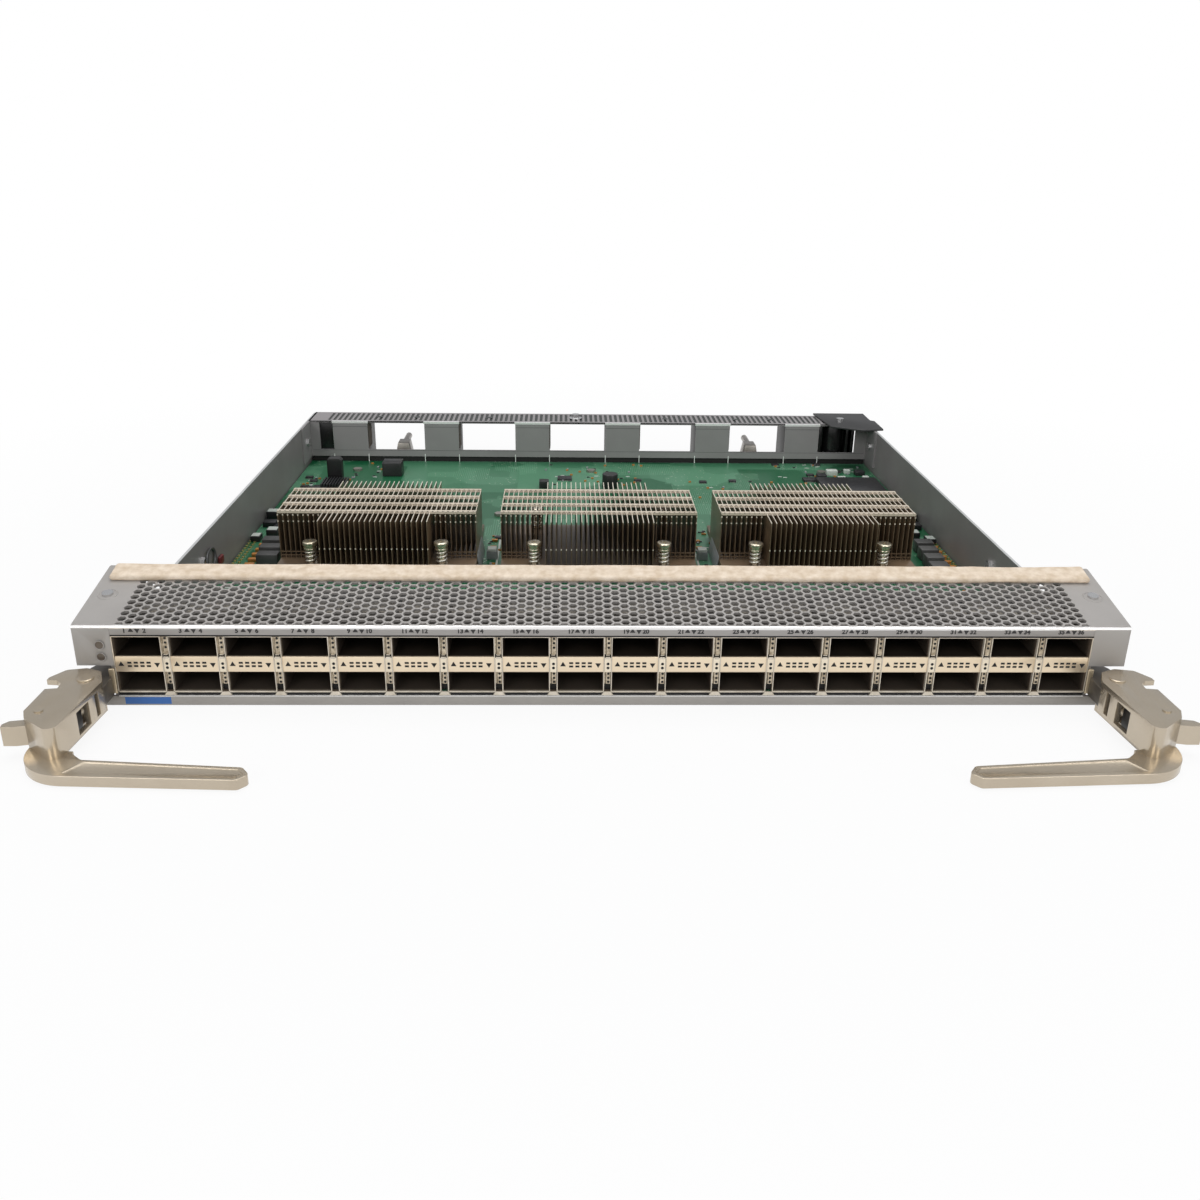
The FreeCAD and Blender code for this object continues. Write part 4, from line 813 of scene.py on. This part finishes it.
# %% One heat sink
plate = slab("plate", (sink_low[0], front, sink_low[2]), (sink_high[0], rear, base_top))
soften(plate, 0.25)
bore = bar("bore", 1.9, (-SCREW_ACROSS, front + SCREW_INSET, sink_low[2] - 1), SINK_BASE + 2, "Z", 20)
row(bore, 2, (SCREW_ACROSS * 2, 0, 0))
row(bore, 2, (0, rear - front - SCREW_INSET * 2, 0))
cut(plate, bore)
stack = [plate]
edges = []
top_edges = []
for first, count, near, far in ((0, SHORT_FINS, short_front, short_rear),
                                (SHORT_FINS, LONG_FINS, front, rear),
                                (SHORT_FINS + LONG_FINS, SHORT_FINS, short_front, short_rear)):
    left = sink_low[0] + fin_step * first
    right = left + FIN_SHEET
    stack.append(at_fins("fin", count, (left, near, base_top - 0.2), (right, far, fin_top)))
    # Front edges are painted darker towards the plate as shade; the top edges and most small folds are
    # painted bright as highlights.
    edges.append(at_fins("upright", count, (left - 0.02, near - 0.05, base_top),
                         (right + 0.02, near + 0.3, fin_top - 0.3)))
    top_edges.append(at_fins("level", count, (left - 0.02, near - 0.05, fin_top - 0.35),
                             (right + 0.02, far, fin_top + 0.03)))
    if count == SHORT_FINS:
        for height in (34.2, 31.0):
            top_edges.append(folded_tabs(first - 0.5, count, near - 0.15, height - 0.35,
                                         height + 0.35, 0.6))
        for height in (13.6, 15.4):
            edges.append(folded_tabs(first, count - 1, near + 0.1, height - 0.25, height + 0.25,
                                     fin_step - FIN_SHEET))
top_edges.append(folded_tabs(SHORT_FINS - 0.5, LONG_FINS, front - 0.12, 21.6, 22.3, 0.55))

# %% Its ties, and its two neighbours
TIES = 4
TIE_DEPTH = 2.6
tie_step = (0, (short_rear - short_front - TIE_DEPTH) / (TIES - 1), 0)
tie = slab("tie", (sink_low[0], short_front, fin_top),
           (sink_high[0], short_front + TIE_DEPTH, tie_top))
fold = slab("fold", (sink_low[0], short_front - 0.15, fin_top - 0.7),
            (sink_high[0], short_front + 0.15, tie_top))
notch_left = sink_low[0] + FIN_SHEET + 0.75
notch = at_fins("tie_notches_2", ALL_FINS - 1, (notch_left, short_front - 0.05, tie_top - 0.3),
                (notch_left + 0.8, short_front + 0.75, tie_top + 0.02))
for piece, look in ((join("heat_sink_edges_2", edges), "fin_edge"),
                    (join("heat_sink_top_edges_2", top_edges), "fin_top_edge"),
                    (row(notch, TIES, tie_step), "hole_black"),
                    (join("heat_sink_fins_2", stack), "sink_nickel"),
                    (row(join("heat_sink_ties_2", [tie, fold]), TIES, tie_step), "tie_nickel")):
    stem = piece.name[:-1]
    for number, shift in ((1, -SINK_STEP), (3, SINK_STEP)):
        finish(twin(piece, stem + str(number), (shift, 0, 0)), look, "sink_metal",
               "heat_sink_%d" % number)
    finish(piece, look, "sink_metal", "heat_sink_2")

# %% [markdown]
# Coil springs press each heat sink down. One turn of wire is a small circle moved round and up by the
# Screw modifier, and three turns stand under each screw's head. The head has a flange, a collar and a
# domed cap with a cross recess.

# %% Springs
WIRE = 0.6
COIL = 2.3
SPRING_HEIGHT = 7.4
TURNS_OF_WIRE = 3
clear_selection()
bpy.ops.mesh.primitive_circle_add(vertices=8, radius=WIRE * MM, location=(COIL * MM, 0, 0),
                                  rotation=(math.pi / 2, 0, 0))
spring = bpy.context.object
settle(spring)
coil = spring.modifiers.new("coil", "SCREW")
coil.axis = "Z"
coil.iterations = TURNS_OF_WIRE
coil.screw_offset = (SPRING_HEIGHT - WIRE * 2) / TURNS_OF_WIRE * MM
coil.steps = 20
coil.render_steps = 20
coil.use_merge_vertices = False
apply_all(spring)
bpy.ops.object.mode_set(mode="EDIT")
bpy.ops.mesh.select_all(action="DESELECT")
bpy.ops.mesh.select_non_manifold()
bpy.ops.mesh.edge_face_add()
bpy.ops.object.mode_set(mode="OBJECT")
first_screw = (-SCREW_ACROSS - SINK_STEP, front + SCREW_INSET)
moved(spring, (first_screw[0], first_screw[1], base_top + WIRE))
outward(spring)


def at_all_sinks(thing):
    """Repeats a piece at the four corners of each of the three heat sinks."""
    row(thing, 2, (SCREW_ACROSS * 2, 0, 0))
    row(thing, 3, (SINK_STEP, 0, 0))
    return row(thing, 2, (0, rear - front - SCREW_INSET * 2, 0))


at_all_sinks(spring)
spring.name = "sink_coils"
finish(spring, "spring_wire", "spring_steel", "heat_sink_springs", smooth=60)

# %% Screws
head_base = base_top + SPRING_HEIGHT
x, y = first_screw
shank = bar("shank", 1.6, (x, y, board_top + 0.3), head_base - board_top - 0.2, "Z", 24)
flange = soften(bar("flange", 3.2, (x, y, head_base), 1.0, "Z", 40), 0.3)
collar = bar("collar", 3.0, (x, y, head_base + 0.9), 1.4, "Z", 40)
cap = soften(bar("cap", 3.6, (x, y, head_base + 1.9), 2.3, "Z", 40), 0.7, 4)
for wide, deep in ((1.2, 0.28), (0.28, 1.2)):
    cut(cap, plank("cross", x, wide, (y - deep, y + deep), (head_base + 3.5, head_base + 4.6)))
screw = at_all_sinks(join("sink_screws", [shank, flange, collar, cap]))
finish(screw, "pale_brass", "pale_brass", "heat_sink_screws")
print("sink pieces", count_of_triangles["heat_sink_fins_2"], count_of_triangles["sink_coils"],
      count_of_triangles["sink_screws"])

# %% [markdown]
# The board is the most crowded part of the card. Its green has darker copper areas under it, fine
# traces in one or the other direction and tiny bright holes, all worked out by nodes. The parts on it
# are small bevelled blocks, made once for each kind and placed by loops.

# %% The board's green
MASK_DARK = tone(16, 92, 56)
MASK_LIGHT = tone(84, 142, 108)
COPPER_GREEN = tone(118, 176, 140)
VIA_PALE = tone(196, 206, 186)
solder_mask = bpy.data.materials.new("solder_mask")
solder_mask.use_nodes = True
finishes["solder_mask"] = solder_mask
tree = solder_mask.node_tree
place = object_place(tree)


def square_cells(scale):
    """Random colours in square patches of the board, taken apart into three values."""
    cells = add(tree, "ShaderNodeTexVoronoi", {"Vector": place, "Scale": scale},
                distance="CHEBYCHEV")
    return add(tree, "ShaderNodeSeparateColor", {"Color": cells.outputs["Color"]}).outputs


def fine_lines(direction):
    """Wavy parallel lines."""
    sockets = {"Vector": place, "Scale": 260, "Distortion": 1.2, "Detail": 1}
    return add(tree, "ShaderNodeTexWave", sockets, wave_type="BANDS",
               bands_direction=direction).outputs["Fac"]


areas = square_cells(38)
busy = calculate(tree, "GREATER_THAN", areas["Green"], 0.45)
across_or_along = calculate(tree, "GREATER_THAN", areas["Red"], 0.5)
lines = add(tree, "ShaderNodeMix", {"Factor": across_or_along, "A": fine_lines("X"),
                                    "B": fine_lines("Y")}, data_type="FLOAT")
traced = calculate(tree, "GREATER_THAN", lines.outputs["Result"], 0.62)
shown = calculate(tree, "MULTIPLY", calculate(tree, "MULTIPLY", traced, busy), 0.45)
pours = ranged(tree, square_cells(21)["Blue"], 0.35, 1.0)
vias = add(tree, "ShaderNodeTexVoronoi", {"Vector": place, "Scale": 330, "Randomness": 0.9})
dots = calculate(tree, "LESS_THAN", vias.outputs["Distance"], 0.12)
colour = mixed(tree, pours, MASK_DARK, MASK_LIGHT)
colour = mixed(tree, shown, colour, COPPER_GREEN)
colour = mixed(tree, calculate(tree, "MULTIPLY", dots, busy), colour, VIA_PALE)
feed(tree, tree.nodes["Principled BSDF"], {"Base Color": colour, "Roughness": 0.32})

# %% The board and its cut edges
finish(copied_solid("circuit_board", "green_board", 0), "solder_mask", "board",
       "circuit_board")
for side, name in ((-1, "left"), (1, "right")):
    strip = plank("board_edge_" + name, side * (board_high[0] - 0.35), 0.35,
                  (52, board_high[1] - 2), (board_top - 0.3, board_top + 0.06))
    finish(strip, "board_edge", "board")


# %% Kinds of small parts
def block_at(x, y, width, depth, height, round_edge=0.12):
    """A small part that stands on the board."""
    block = plank("block", x, width / 2, (y - depth / 2, y + depth / 2),
                  (board_top - 0.05, board_top + height))
    return soften(block, round_edge) if round_edge else block


def put(kind, *sizes):
    """Adds a small block of one kind."""
    parts[kind].append(block_at(*sizes))


def chip_with_legs(x, y, width, depth, height, legs):
    """Adds a black chip and the bright legs at its front and rear."""
    put("chips", x, y, width, depth, height)
    step = width / (legs + 1)
    leg = slab("leg", (x - width / 2 + step * 0.75, y - depth / 2 - 0.9, board_top - 0.02),
               (x - width / 2 + step * 1.25, y + depth / 2 + 0.9, board_top + height * 0.35))
    parts["legs"].append(row(leg, legs, (step, 0, 0)))


# %% Parts beside the outer heat sinks
parts = {"chips": [], "legs": [], "capacitors": [], "inductors": [], "pads": [], "pins": []}
for side in (-1, 1):
    for place in range(6):
        put("capacitors", 176.2 * side + 2.6, 140.0 + place * 7.4, 4.8, 2.8, 1.6, 0.2)
    for depth, width in ((190.0, 8.0), (201.0, 9.0), (212.0, 8.0)):
        chip_with_legs(side * 171.0, depth, width, 5.2, 1.7, 6)
    for middle, depth, wide, tall in ((178.6, 217.7, 9.0, 4.6), (173.0, 187.6, 6.0, 4.0),
                                      (180.0, 180.0, 5.0, 3.0)):
        put("chips", side * middle, depth, wide, 6.6, tall, 0.3)
        cap = plank("cap", side * middle, wide / 2 - 0.4, (depth - 2.7, depth + 2.7),
                    (board_top + tall - 0.1, board_top + tall + 0.15))
        parts["pads"].append(cap)
    put("chips", side * 178.4, 204.0, 7.0, 6.0, 3.0, 0.3)
    for depth in (240.0, 251.0, 262.0):
        put("capacitors", side * (177.5 - (depth - 240) * 0.1), depth, 5.4, 2.4, 1.7, 0.2)
    for across, start in ((182.6, 128.0), (180.0, 129.9)):
        dots = bar("gold", 0.75, (side * across, start, board_top - 0.02), 0.6, "Z", 12)
        parts["pins"].append(row(dots, 15, (0, 3.8, 0)))
print("parts beside the sinks", sum(len(things) for things in parts.values()))

# %% Clusters of tiny parts
random.seed(11)
zones = [(-178, -150, 268, 300, 46), (-150, -128, 300, 334, 16), (-62, -46, 118, 200, 30),
         (46, 62, 118, 200, 30), (-30, 34, 286, 336, 34), (120, 178, 262, 338, 60),
         (-120, -70, 196, 214, 10), (-182, -166, 66, 112, 18), (166, 182, 66, 112, 18),
         (-166, 166, 54, 112, 90), (60, 118, 250, 300, 18)]
for left, right, near, far, count in zones:
    for number in range(count):
        x = random.uniform(left, right)
        y = random.uniform(near, far)
        kind = random.random()
        if kind < 0.35:
            put("capacitors", x, y, 1.6, 0.9, 0.8, 0)
        elif kind < 0.6:
            put("chips", x, y, 1.7, 0.9, 0.5, 0)
            put("legs", x, y, 2.3, 0.8, 0.3, 0)
        elif kind < 0.8:
            put("pads", x, y, 2.4, 1.1, 0.15, 0)
        elif kind < 0.93:
            put("inductors", x, y, 1.1, 2.0, 0.8, 0)
        else:
            chip_with_legs(x, y, 4.6, 3.4, 1.2, 4)
put("chips", 161.0, 283.0, 38.0, 30.0, 3.2, 0.3)
for x, y, wide, deep, tall in ((155.7, 314.0, 7.0, 5.0, 3.4), (160.5, 305.0, 5.0, 4.0, 1.4),
                               (166.5, 318.0, 4.0, 4.0, 2.6), (176.0, 305.0, 4.0, 5.0, 1.6)):
    put("pads", x, y, wide, deep, tall, 0.3)
for x, y in ((174.0, 315.0), (147.5, 306.0)):
    put("chips", x, y, 6.0, 6.0, 2.8, 0.3)
for x, y in ((-165.5, 276.0), (139.0, 300.0), (-17.0, 300.0)):
    chip_with_legs(x, y, 9.0, 7.0, 1.5, 8)
print("small parts", sum(len(things) for things in parts.values()))

# %% A ribbed block, and light blocks between the heat sinks
for place in range(9):
    rib = plank("rib", -164.55 + place * 1.7, 0.45, (274.0, 291.0), (board_top, board_top + 3.4))
    parts["chips"].append(rib)
for side in (-1, 1):
    put("pads", side * 53.8, 153.5, 4.6, 5.0, 5.6, 0.3)
    put("inductors", side * 53.8, 153.0, 5.4, 4.4, 4.4, 0.3)
    shield = block_at(side * 58.5, 150.0, 0.7, 30.0, 8.0, 0.2)
    parts["inductors"].append(turned(shield, side * 12, "Y", (side * 58.5, 150.0, board_top)))
    for depth in (122.0, 134.0, 168.0, 179.0):
        put("capacitors", side * 54.0, depth, 3.2, 1.8, 1.4, 0.15)
    put("pads", side * 51.2, 160.0, 1.0, 62.0, 0.12, 0)
for kind, look in (("chips", "part_black"), ("legs", "solder_tin"), ("capacitors", "part_tan"),
                   ("inductors", "part_grey"), ("pads", "pad_pale"), ("pins", "gold_pad")):
    finish(join("board_" + kind, parts[kind]), look, "board")
for kind in ("chips", "legs", "capacitors"):
    print(kind, count_of_triangles["board_" + kind])

# %% [markdown]
# The rear frame is one folded sheet: a wall with windows, and a top with more than a hundred narrow
# slots. A row of thin bars is cut from the top in one step, and another row from the wall.

# %% Rear frame
SHEET = 1.2
PANEL = 22.3
WINDOW_STEP = 59.5
FIRST_PANEL = -157.35
SLOT_PITCH = 3.3
SLOTS = 104
sill = 13.4
head = frame_high[2] - 1.0
wall_front = board_high[1] - 21.5
wall_rear = wall_front + SHEET
first_window = FIRST_PANEL + PANEL / 2
frame_wall = slab("frame_wall", (frame_low[0], wall_front, frame_low[2]),
                  (frame_high[0], wall_rear, frame_high[2]))
opening = slab("opening", (first_window, wall_front - 2, sill),
               (first_window + WINDOW_STEP - PANEL, wall_rear + 2, head))
cut(frame_wall, row(opening, 5, (WINDOW_STEP, 0, 0)))
for left, right in ((-177.2, -168.3), (151.3, 175.7)):
    cut(frame_wall, slab("end_window", (left, wall_front - 2, sill), (right, wall_rear + 2, head)))
frame_top = slab("frame_top", (frame_low[0], wall_front, head), frame_high)
slot = slab("slot", (-172.2, wall_front + 3.6, head - 1), (-170.4, frame_high[1] - 2.0, head + 3))
cut(frame_top, row(slot, SLOTS, (SLOT_PITCH, 0, 0)))
flanges = []
for side in (-1, 1):
    flanges.append(plank("flange", side * (frame_high[0] - SHEET / 2), SHEET / 2,
                         (frame_low[1], frame_high[1]), (frame_low[2], frame_high[2])))
finish(join("rear_frame_sheet", [frame_wall, frame_top] + flanges), "frame_steel",
       "frame_steel", "rear_frame")
print("frame triangles", count_of_triangles["rear_frame_sheet"])

# %% Folded edges and ticks painted as highlights, creases and the round holes of the top painted as shade
face = wall_front - 0.05
edges = []
creases = []
for number in range(6):
    middle = FIRST_PANEL + number * WINDOW_STEP
    edges.append(plank("fold", middle, PANEL / 2 + 0.5, (wall_front - 0.12, wall_front + 1.5),
                       (head - 0.3, head + 1.04)))
    for side in (-1, 1):
        edges.append(plank("tick", middle + side * (PANEL / 2 + 0.1), 0.25,
                           (wall_front - 0.12, wall_front + 0.1),
                           (board_top + 0.1, frame_low[2] + 1.6)))
    creases.append(plank("crease", middle, PANEL / 2, (face, wall_front + 0.05),
                         (head - 2.6, head - 2.4)))
creases.append(plank("crease", 0, frame_high[0] - 2, (face, wall_front + 0.05),
                     (sill - 0.5, sill - 0.35)))
for place in (-140, -115, -67, 50, 97, 120.5):
    creases.append(bar("disc", 2.1, (place, wall_front + 13.6, frame_high[2] - 0.2), 0.24, "Z", 28))
# The folds and ticks are painted near-white as highlights.
finish(join("frame_folds", edges), "bright_tin", "frame_steel")
# The creases and round holes are painted dark as shade.
finish(join("frame_creases", creases), "crease_dark", "frame_steel")
washer = bar("bolt_washer", 4.3, (-9.9, wall_front + 14.2, frame_high[2]), 0.35, "Z", 36)
boss = bar("bolt_boss", 3.0, (-9.9, wall_front + 14.2, frame_high[2] + 0.25), 0.27, "Z", 6)
finish(soften(join("bolt_washers", [washer, boss]), 0.12), "fastener_chrome", "screw_steel")

# %% What is seen through and under the frame
shade = slab("frame_shade", (frame_low[0] + 1.5, wall_rear + 0.1, board_top + 0.05),
             (frame_high[0] - 1.5, wall_rear + 0.28, frame_low[2] + 1.0))
finish(shade, "hole_black", "connector_black")
# A plate of painted shade under the slots, so that they look dark.
backing = slab("slot_backing", (frame_low[0] + 2, wall_front + 3, head + 0.05),
               (frame_high[0] - 2, frame_high[1] - 1.2, head + 0.35))
finish(backing, "crease_dark", "frame_steel")
foam = slab("slot_foam", (-176.4, wall_rear + 0.4, 24.0), (-170.6, wall_rear + 4.0, head - 0.2))
soften(foam, 0.8, 3)
side_plate = slab("slot_plate", (-169.6, wall_rear + 0.4, sill + 0.2),
                  (-168.2, wall_rear + 12.0, head - 0.2))
finish(join("slot_fittings", [foam, side_plate]), "pad_pale", "connector_grey")
for number in range(1, 7):
    name = "backplane_connector_%d" % number
    finish(copied_solid(name, "connector_block_%d" % number, 0.25), "connector_grey",
           "connector_grey", name)
rod = bar("connector_ribs", 0.6, (first_window + 0.05, wall_rear + 2.2, sill + 0.6),
          head - sill - 1.2, "Z", 8)
row(rod, 4, (0, 3.2, 0))
finish(row(rod, 5, (WINDOW_STEP, 0, 0)), "rib_brown", "connector_grey")

# %% [markdown]
# The tray's walls are plain sheets; their cut upper edges are painted light as highlights. The front
# lip has a face painted lighter as lit from the front, a painted highlight on top and a blue label
# that says nothing.

# %% Tray edges, front strip and label
TRAY_HALF = 185.6
rims = []
for side in (-1, 1):
    rims.append(plank("rim", side * (TRAY_HALF - 0.6), 0.62, (50.6, pan_high[1] - 0.1),
                      (pan_high[2] - 0.25, pan_high[2] + 0.04)))
finish(join("tray_rims", rims), "edge_steel", "tray_steel")
STRIP_HALF = 193.3
strip = plank("front_strip", 0, STRIP_HALF - 0.05, (-0.06, 0.3), (0.12, 3.86))
finish(soften(strip, 0.1), "strip_steel", "tray_steel")
# A painted highlight along the top edge of the front strip.
top_line = plank("strip_edge", 0, array_half, (-0.09, 0.9), (3.72, 4.0))
finish(soften(top_line, 0.1), "bright_tin", "tray_steel")
label = slab("blue_label", (-185.6, -0.1, 0.55), (-168.1, 0.0, 3.45))
finish(label, "label_blue", "tray_steel")

# %% Wire loop and red cap at the front left of the board
LOOP_DEPTH = 112.0
loop = torus("wire_loop", 3.8, 0.55, (-182.8, LOOP_DEPTH, 20.0), (0, math.radians(82), 0.2))
stretched(loop, 2.2, LOOP_DEPTH)
finish(loop, "wire_grey", "connector_black")
red = soften(slab("red_cap", (-183.9, 124.0, 11.6), (-182.4, 130.0, 15.6)), 0.5, 3)
finish(red, "cap_red", "connector_black")

# %% [markdown]
# The ejectors and the end brackets keep the shape of their solids. A copy of each gets its loose
# triangles merged and its edges rounded, so that the edges catch the light as cast and folded metal
# does.

# %% Rounded copies of the ejectors
for side in ("left", "right"):
    lever = "%s_lever" % side
    trigger = "%s_trigger" % side
    sign = 1 if side == "left" else -1
    pin_low, pin_high = box_in_mm("pivot_pin_" + side)
    centre = ((pin_low[0] + pin_high[0]) / 2, (pin_low[1] + pin_high[1]) / 2)
    for node, body, width, look, slot in (
            ("ejector_lever_", lever, 0.6, "ejector_nickel", "ejector_metal"),
            ("ejector_housing_", lever, 0.4, "ejector_nickel", "ejector_metal"),
            ("ejector_trigger_", trigger, 0.3, "ejector_nickel", "ejector_metal"),
            # The lug's copy is painted dark as shade.
            ("ejector_lug_", "card", 0.25, "lug_steel", "ejector_metal")):
        piece = copied_solid(node + side, node + side + "_rounded", width, 3, 28)
        if node == "ejector_lever_":
            inner = (centre[0] + sign * 4.0, centre[0] + sign * 12.0)
            spare = slab("spare", (min(inner), centre[1] - 33.0, -1), (max(inner), centre[1] + 8, 6))
            cut(piece, turned(spare, -sign * 4.1, "Z", (centre[0] + sign * 4.0, centre[1] + 6, 0)))
        finish(piece, look, slot, node + side, body=body, smooth=35)
    # A thin dark plate of painted shade in the housing's window.
    window_shade = plank("housing_core_" + side, centre[0] + sign * 2.5, 0.08,
                 (centre[1] - 23.0, centre[1] - 13.3), (3.2, 14.3))
    finish(window_shade, "core_black", "ejector_metal", body=lever)
    ring = torus("pivot_ring_" + side, 2.75, 0.32, (centre[0], centre[1], 16.6))
    finish(ring, "ejector_nickel", "ejector_metal", body=lever)
light_low, light_high = box_in_mm("status_lights")
lenses = []
for height in (20.5, 25.4):
    place = ((light_low[0] + light_high[0]) / 2, light_low[1] - 0.02, height)
    lenses.append(torus("lens_ring", 1.72, 0.2, place, (math.pi / 2, 0, 0)))
finish(join("light_rings", lenses), "lip_steel", "front_steel")

# %% End brackets, chokes, modules and lid
for node, width, look, slot in (
        ("end_bracket_left", 0.3, "bezel_steel", "front_steel"),
        ("end_bracket_right", 0.3, "bezel_steel", "front_steel"),
        ("corner_lid", 0.3, "lid_black", "lid_black"),
        ("board_modules", 0.25, "module_black", "module_black"),
        ("power_connector_right", 0.35, "connector_black", "connector_black"),
        ("power_connector_left", 0.25, "connector_black", "connector_black"),
        ("guide_pins", 0.2, "pin_steel", "pin_steel")):
    finish(copied_solid(node, node + "_rounded", width, 2, 28), look, slot, node,
           smooth=35)
for side, wide, deep, places in (
        ("left", 10.8, 6.8, ((-165.0, 143.7), (-166.3, 155.2), (-167.5, 166.7))),
        ("right", 9.2, 7.4, ((170.0, 131.9), (171.0, 143.8), (171.5, 155.2), (172.3, 166.4)))):
    chokes = [block_at(x, y, wide, deep, 5.95, 0.5) for x, y in places]
    finish(join("power_chokes_%s_rounded" % side, chokes), "choke_grey", "choke_grey",
           "power_chokes_" + side, smooth=35)
print("rounded copies", len(count_of_triangles))

# %% [markdown]
# The card was photographed from the front and above, on white. The camera's place, turn and lens were
# worked out from the card's own straight edges.

# %% Camera
EYE = Vector((-16.53, -398.10, 204.74)) * MM
PITCH = 0.3831
YAW = 0.033
ROLL = 0.0151
clear_selection()
bpy.ops.object.camera_add(location=EYE)
camera = bpy.context.object
camera.name = "camera"
forward = Vector((math.sin(YAW) * math.cos(PITCH), math.cos(YAW) * math.cos(PITCH),
                  -math.sin(PITCH)))
level = Vector((math.cos(YAW), -math.sin(YAW), 0))
upright = level.cross(forward)
side = math.cos(ROLL) * level + math.sin(ROLL) * upright
top = -math.sin(ROLL) * level + math.cos(ROLL) * upright
turn = Matrix((side, top, -forward)).transposed()
camera.rotation_euler = turn.to_euler()
camera.data.lens = 34.25
camera.data.sensor_width = 36
camera.data.sensor_fit = "HORIZONTAL"
camera.data.clip_start = 0.01
camera.data.clip_end = 20
bpy.context.scene.camera = camera
print("camera at", [round(v, 3) for v in camera.location])

# %% [markdown]
# The floor and the surroundings are white to the camera, and to mirror-like metal, but light the card
# only at a plain level. The floor's own shading is mixed in so that it keeps a faint shadow.

# %% Floor
clear_selection()
bpy.ops.mesh.primitive_plane_add(size=12, location=(0, 0, -0.0002))
floor = bpy.context.object
floor.name = "floor"
paper = bpy.data.materials.new("white_paper")
paper.use_nodes = True
tree = paper.node_tree
shader = tree.nodes["Principled BSDF"]
feed(tree, shader, {"Base Color": tone(238, 238, 238), "Roughness": 0.9, "Specular IOR Level": 0.1})
glow = add(tree, "ShaderNodeEmission", {"Color": (1, 1, 1, 1), "Strength": 1.0})
ray = add(tree, "ShaderNodeLightPath").outputs
seen = calculate(tree, "MAXIMUM", ray["Is Camera Ray"], ray["Is Glossy Ray"])
apart = add(tree, "ShaderNodeVectorMath", {0: object_place(tree), 1: (0, 0.12, 0)},
            operation="DISTANCE").outputs["Value"]
share = calculate(tree, "MULTIPLY", seen, ranged(tree, apart, 0.26, 0.55, 0.9, 1.0))
paper_mix = add(tree, "ShaderNodeMixShader", {"Fac": share, 1: shader.outputs["BSDF"],
                                              2: glow.outputs["Emission"]})
feed(tree, tree.nodes["Material Output"], {"Surface": paper_mix.outputs["Shader"]})
floor.data.materials.append(paper)

# %% Surroundings
world = bpy.data.worlds.new("studio")
world.use_nodes = True
bpy.context.scene.world = world
tree = world.node_tree
ground = tree.nodes["Background"]
feed(tree, ground, {"Color": tone(206, 208, 212), "Strength": 0.55})
white = add(tree, "ShaderNodeBackground", {"Color": (1, 1, 1, 1), "Strength": 1.0})
ray = add(tree, "ShaderNodeLightPath").outputs
direction = add(tree, "ShaderNodeTexCoord").outputs["Generated"]
ahead = add(tree, "ShaderNodeSeparateXYZ", {"Vector": direction}).outputs["Y"]
mirrored = calculate(tree, "MULTIPLY", ray["Is Glossy Ray"], ranged(tree, ahead, -0.5, 0.5, 0.9, 0.2))
seen = calculate(tree, "MAXIMUM", ray["Is Camera Ray"], mirrored)
world_mix = add(tree, "ShaderNodeMixShader", {"Fac": seen, 1: ground.outputs["Background"],
                                              2: white.outputs["Background"]})
feed(tree, tree.nodes["World Output"], {"Surface": world_mix.outputs["Shader"]})


# %% Lamps
def softbox(name, place, size, power, aim=(0, 0.15, 0.01)):
    """A square soft lamp that faces a point."""
    clear_selection()
    bpy.ops.object.light_add(type="AREA", location=place)
    lamp = bpy.context.object
    lamp.name = name
    lamp.data.size = size
    lamp.data.energy = power
    away = Vector(place) - Vector(aim)
    lamp.rotation_euler = away.to_track_quat("Z", "Y").to_euler()
    return lamp


softbox("overhead", (0.1, 0.6, 2.6), 2.2, 40)
softbox("front_left", (-1.5, -2.6, 1.7), 1.5, 26)
softbox("front_right", (1.7, -2.4, 1.5), 1.5, 20)
bpy.context.scene.view_settings.view_transform = "Standard"
print("pieces:", len(count_of_triangles), "triangles:", sum(count_of_triangles.values()))
